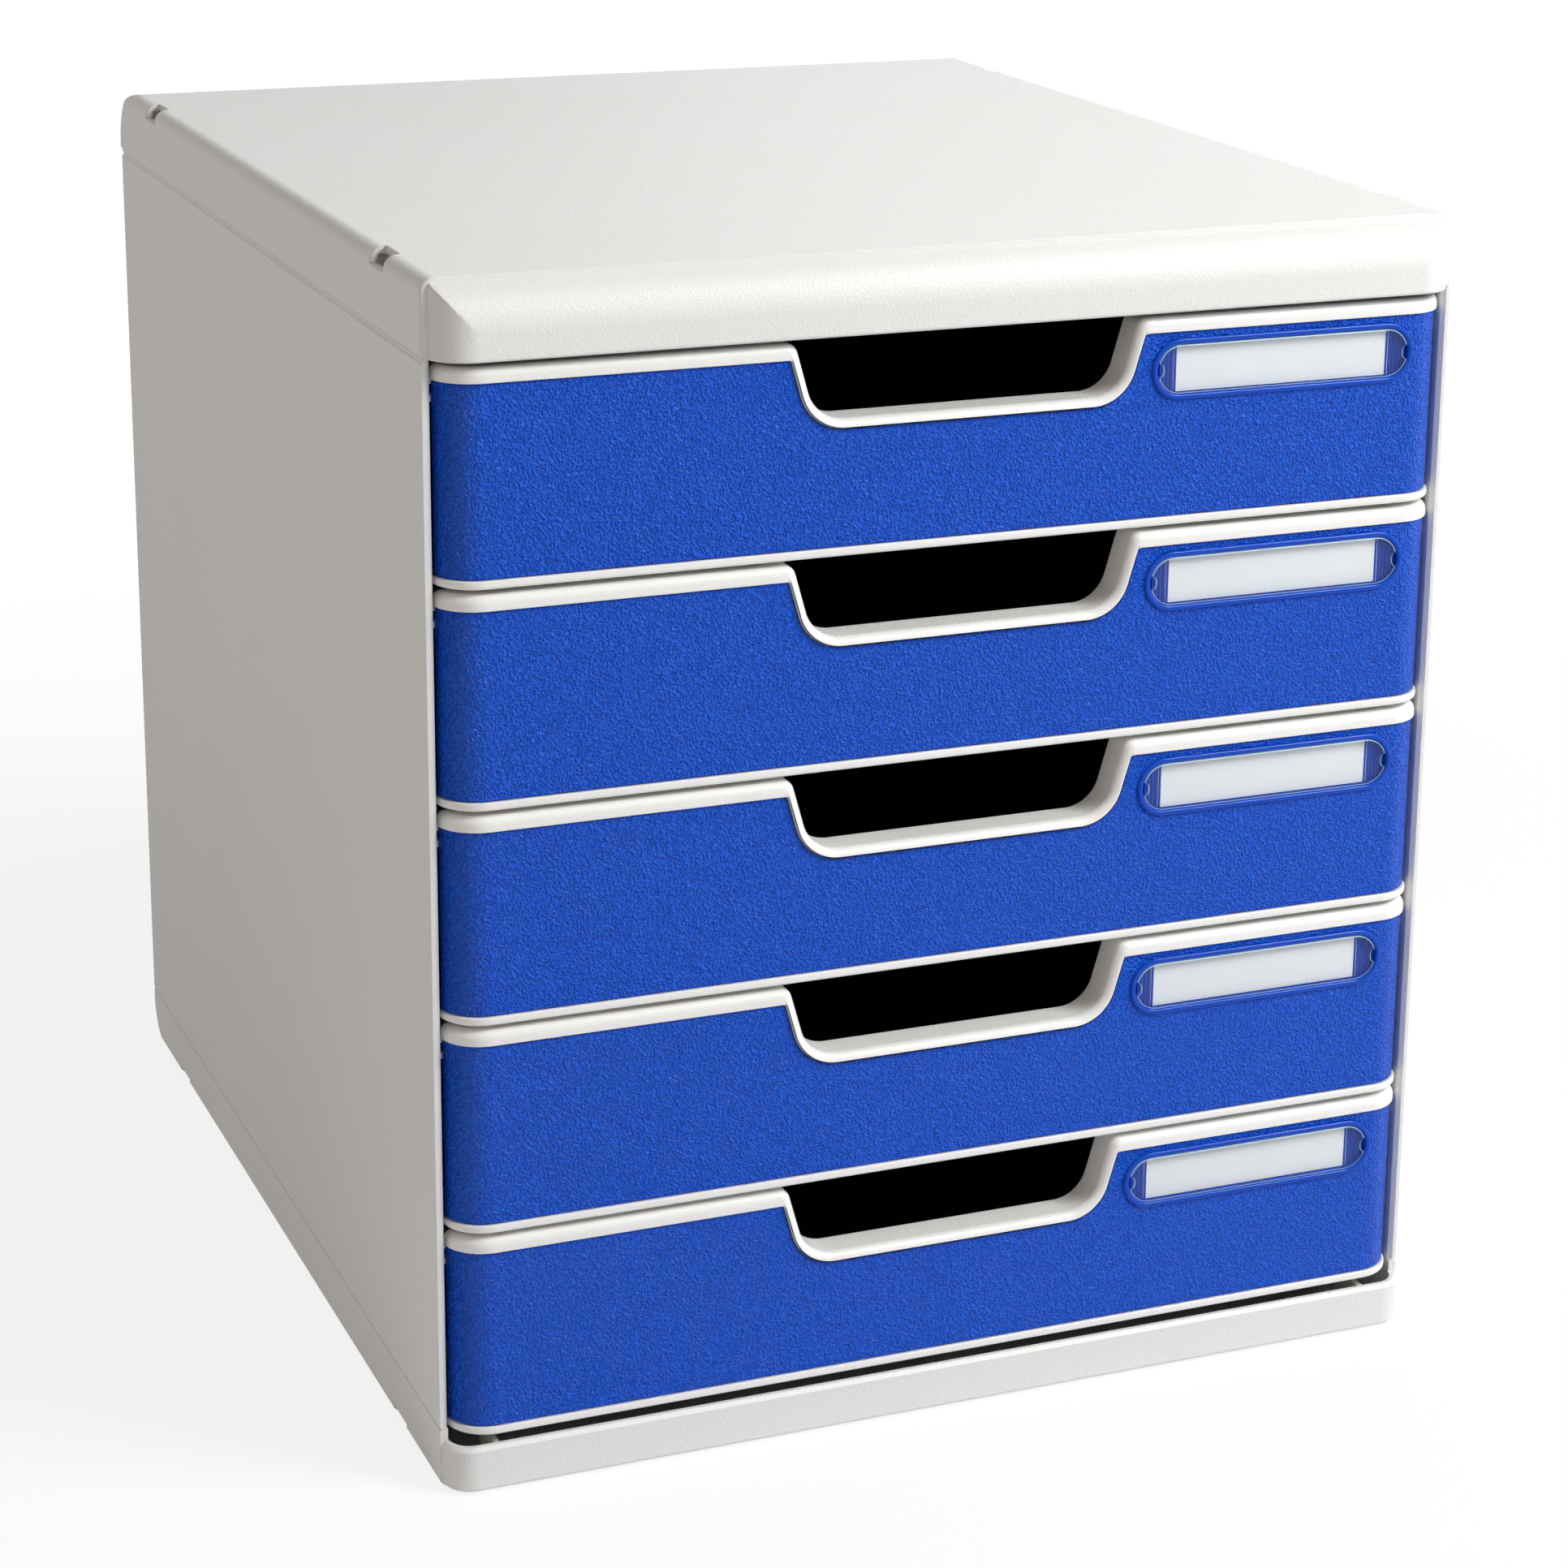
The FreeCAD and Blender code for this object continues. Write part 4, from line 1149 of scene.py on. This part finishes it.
@dataclass(frozen=True)
class SoftBox:
    """Rectangular lamp aimed at a point; places in metres, power in watts."""

    name: str
    place: tuple[float, float, float]
    aim: tuple[float, float, float]
    size: tuple[float, float]
    power: float
    colour: str = "#FFFFFF"

    def build(self) -> None:
        """Makes the lamp."""
        data = bpy.data.lights.new(self.name, "AREA")
        data.shape = "RECTANGLE"
        data.size, data.size_y = self.size
        data.energy = self.power
        data.color = linear(self.colour)[:3]
        lamp = bpy.data.objects.new(self.name, data)
        lamp.location = self.place
        lamp.rotation_mode = "QUATERNION"
        lamp.rotation_quaternion = (Vector(self.aim) - Vector(self.place)).to_track_quat("-Z", "Y")
        bpy.context.scene.collection.objects.link(lamp)


@dataclass(frozen=True)
class Studio:
    """White sweep, plain light and camera."""

    ambient: float = 0.24           # the world's strength as a light
    floor_colour: str = "#EFEFEF"
    floor_white: float = 0.8        # share of white under the piece; the rest keeps its shadow
    floor_glow: float = 1.04        # the backdrop's white
    floor_size: float = 40.0
    shadow_reach: tuple[float, float] = (0.35, 0.95)    # metres over which the shadow fades
    boxes: tuple[SoftBox, ...] = (
        SoftBox("high_key_right_front", place=(1.0, -0.95, 1.25), aim=(0, -0.05, 0.2),
                size=(0.7, 0.7), power=27.0),
        SoftBox("right_fill", place=(1.8, -1.0, 0.5), aim=(0, 0, 0.16), size=(1.0, 1.0), power=3.0),
        SoftBox("back_fill", place=(1.3, 1.8, 1.2), aim=(0, 0, 0.16), size=(1.5, 1.5), power=6.0),
        SoftBox("left_fill", place=(-2.2, -0.9, 0.9), aim=(0, 0, 0.16), size=(1.5, 1.5), power=4.0,
                colour="#FFDDBB"),
    )

    def build(self) -> None:
        """Makes the world, the floor, the lamps and the camera."""
        bpy.context.scene.view_settings.view_transform = "Standard"
        self.world()
        self.floor()
        for box in self.boxes:
            box.build()
        StudioCamera().build()

    def seen_ray(self, tree: bpy.types.NodeTree) -> bpy.types.NodeSocket:
        """Finds the rays that show the backdrop: straight, mirrored or through clear plastic.

        Args:
            tree: the node tree that asks.

        Returns:
            A socket that is one for those rays and nought for the rest.
        """
        path = add_node(tree, "ShaderNodeLightPath", {}, {})
        first = add_node(tree, "ShaderNodeMath", {"operation": "MAXIMUM"},
                         {0: path.outputs["Is Camera Ray"], 1: path.outputs["Is Glossy Ray"]})
        both = add_node(tree, "ShaderNodeMath", {"operation": "MAXIMUM"},
                        {0: first.outputs["Value"], 1: path.outputs["Is Transmission Ray"]})
        return both.outputs["Value"]

    def world(self) -> None:
        """White where it is seen, dimmer as a light."""
        world = bpy.data.worlds.new("white_sweep")
        world.use_nodes = True
        tree = world.node_tree
        tree.nodes.clear()
        strength = add_node(tree, "ShaderNodeMapRange", {"To Min": self.ambient, "To Max": 1.0},
                            {"Value": self.seen_ray(tree)})
        shade = add_node(tree, "ShaderNodeBackground", {"Color": linear("#FFFFFF")},
                         {"Strength": strength.outputs["Result"]})
        add_node(tree, "ShaderNodeOutputWorld", {}, {"Surface": shade.outputs["Background"]})
        bpy.context.scene.world = world

    def floor(self) -> None:
        """Wide pale floor that keeps a soft shadow."""
        material, tree, surface = new_tree("white_floor")
        plain = add_node(tree, "ShaderNodeBsdfDiffuse", {"Color": linear(self.floor_colour)}, {})
        white = add_node(tree, "ShaderNodeEmission", {"Strength": self.floor_glow}, {})
        place = add_node(tree, "ShaderNodeTexCoord", {}, {}).outputs["Object"]
        away = add_node(tree, "ShaderNodeVectorMath", {"operation": "LENGTH"}, {0: place})
        whiter = add_node(tree, "ShaderNodeMapRange",
                          {"From Min": self.shadow_reach[0], "From Max": self.shadow_reach[1],
                           "To Min": self.floor_white, "To Max": 1.0},
                          {"Value": away.outputs["Value"]})
        share = add_node(tree, "ShaderNodeMath", {"operation": "MULTIPLY"},
                         {0: self.seen_ray(tree), 1: whiter.outputs["Result"]})
        mixed = add_node(tree, "ShaderNodeMixShader", {},
                         {0: share.outputs["Value"], 1: plain.outputs["BSDF"],
                          2: white.outputs["Emission"]})
        tree.links.new(mixed.outputs["Shader"], surface)
        half = self.floor_size / 2
        data = bpy.data.meshes.new("floor")
        square = [(-half, -half, 0), (half, -half, 0), (half, half, 0), (-half, half, 0)]
        data.from_pydata(square, [], [(0, 1, 2, 3)])
        data.materials.append(material)
        floor = bpy.data.objects.new("floor", data)
        bpy.context.scene.collection.objects.link(floor)


def main() -> None:
    """Builds the studio, the housing and the drawers."""
    logging.basicConfig(level=logging.INFO, format="%(name)s: %(message)s")
    finishes = Finishes()
    Studio().build()
    Housing().build(finishes)
    for number in range(1, DRAWER_COUNT + 1):
        Drawer(number).build(finishes)


if __name__ == "__main__":
    main()
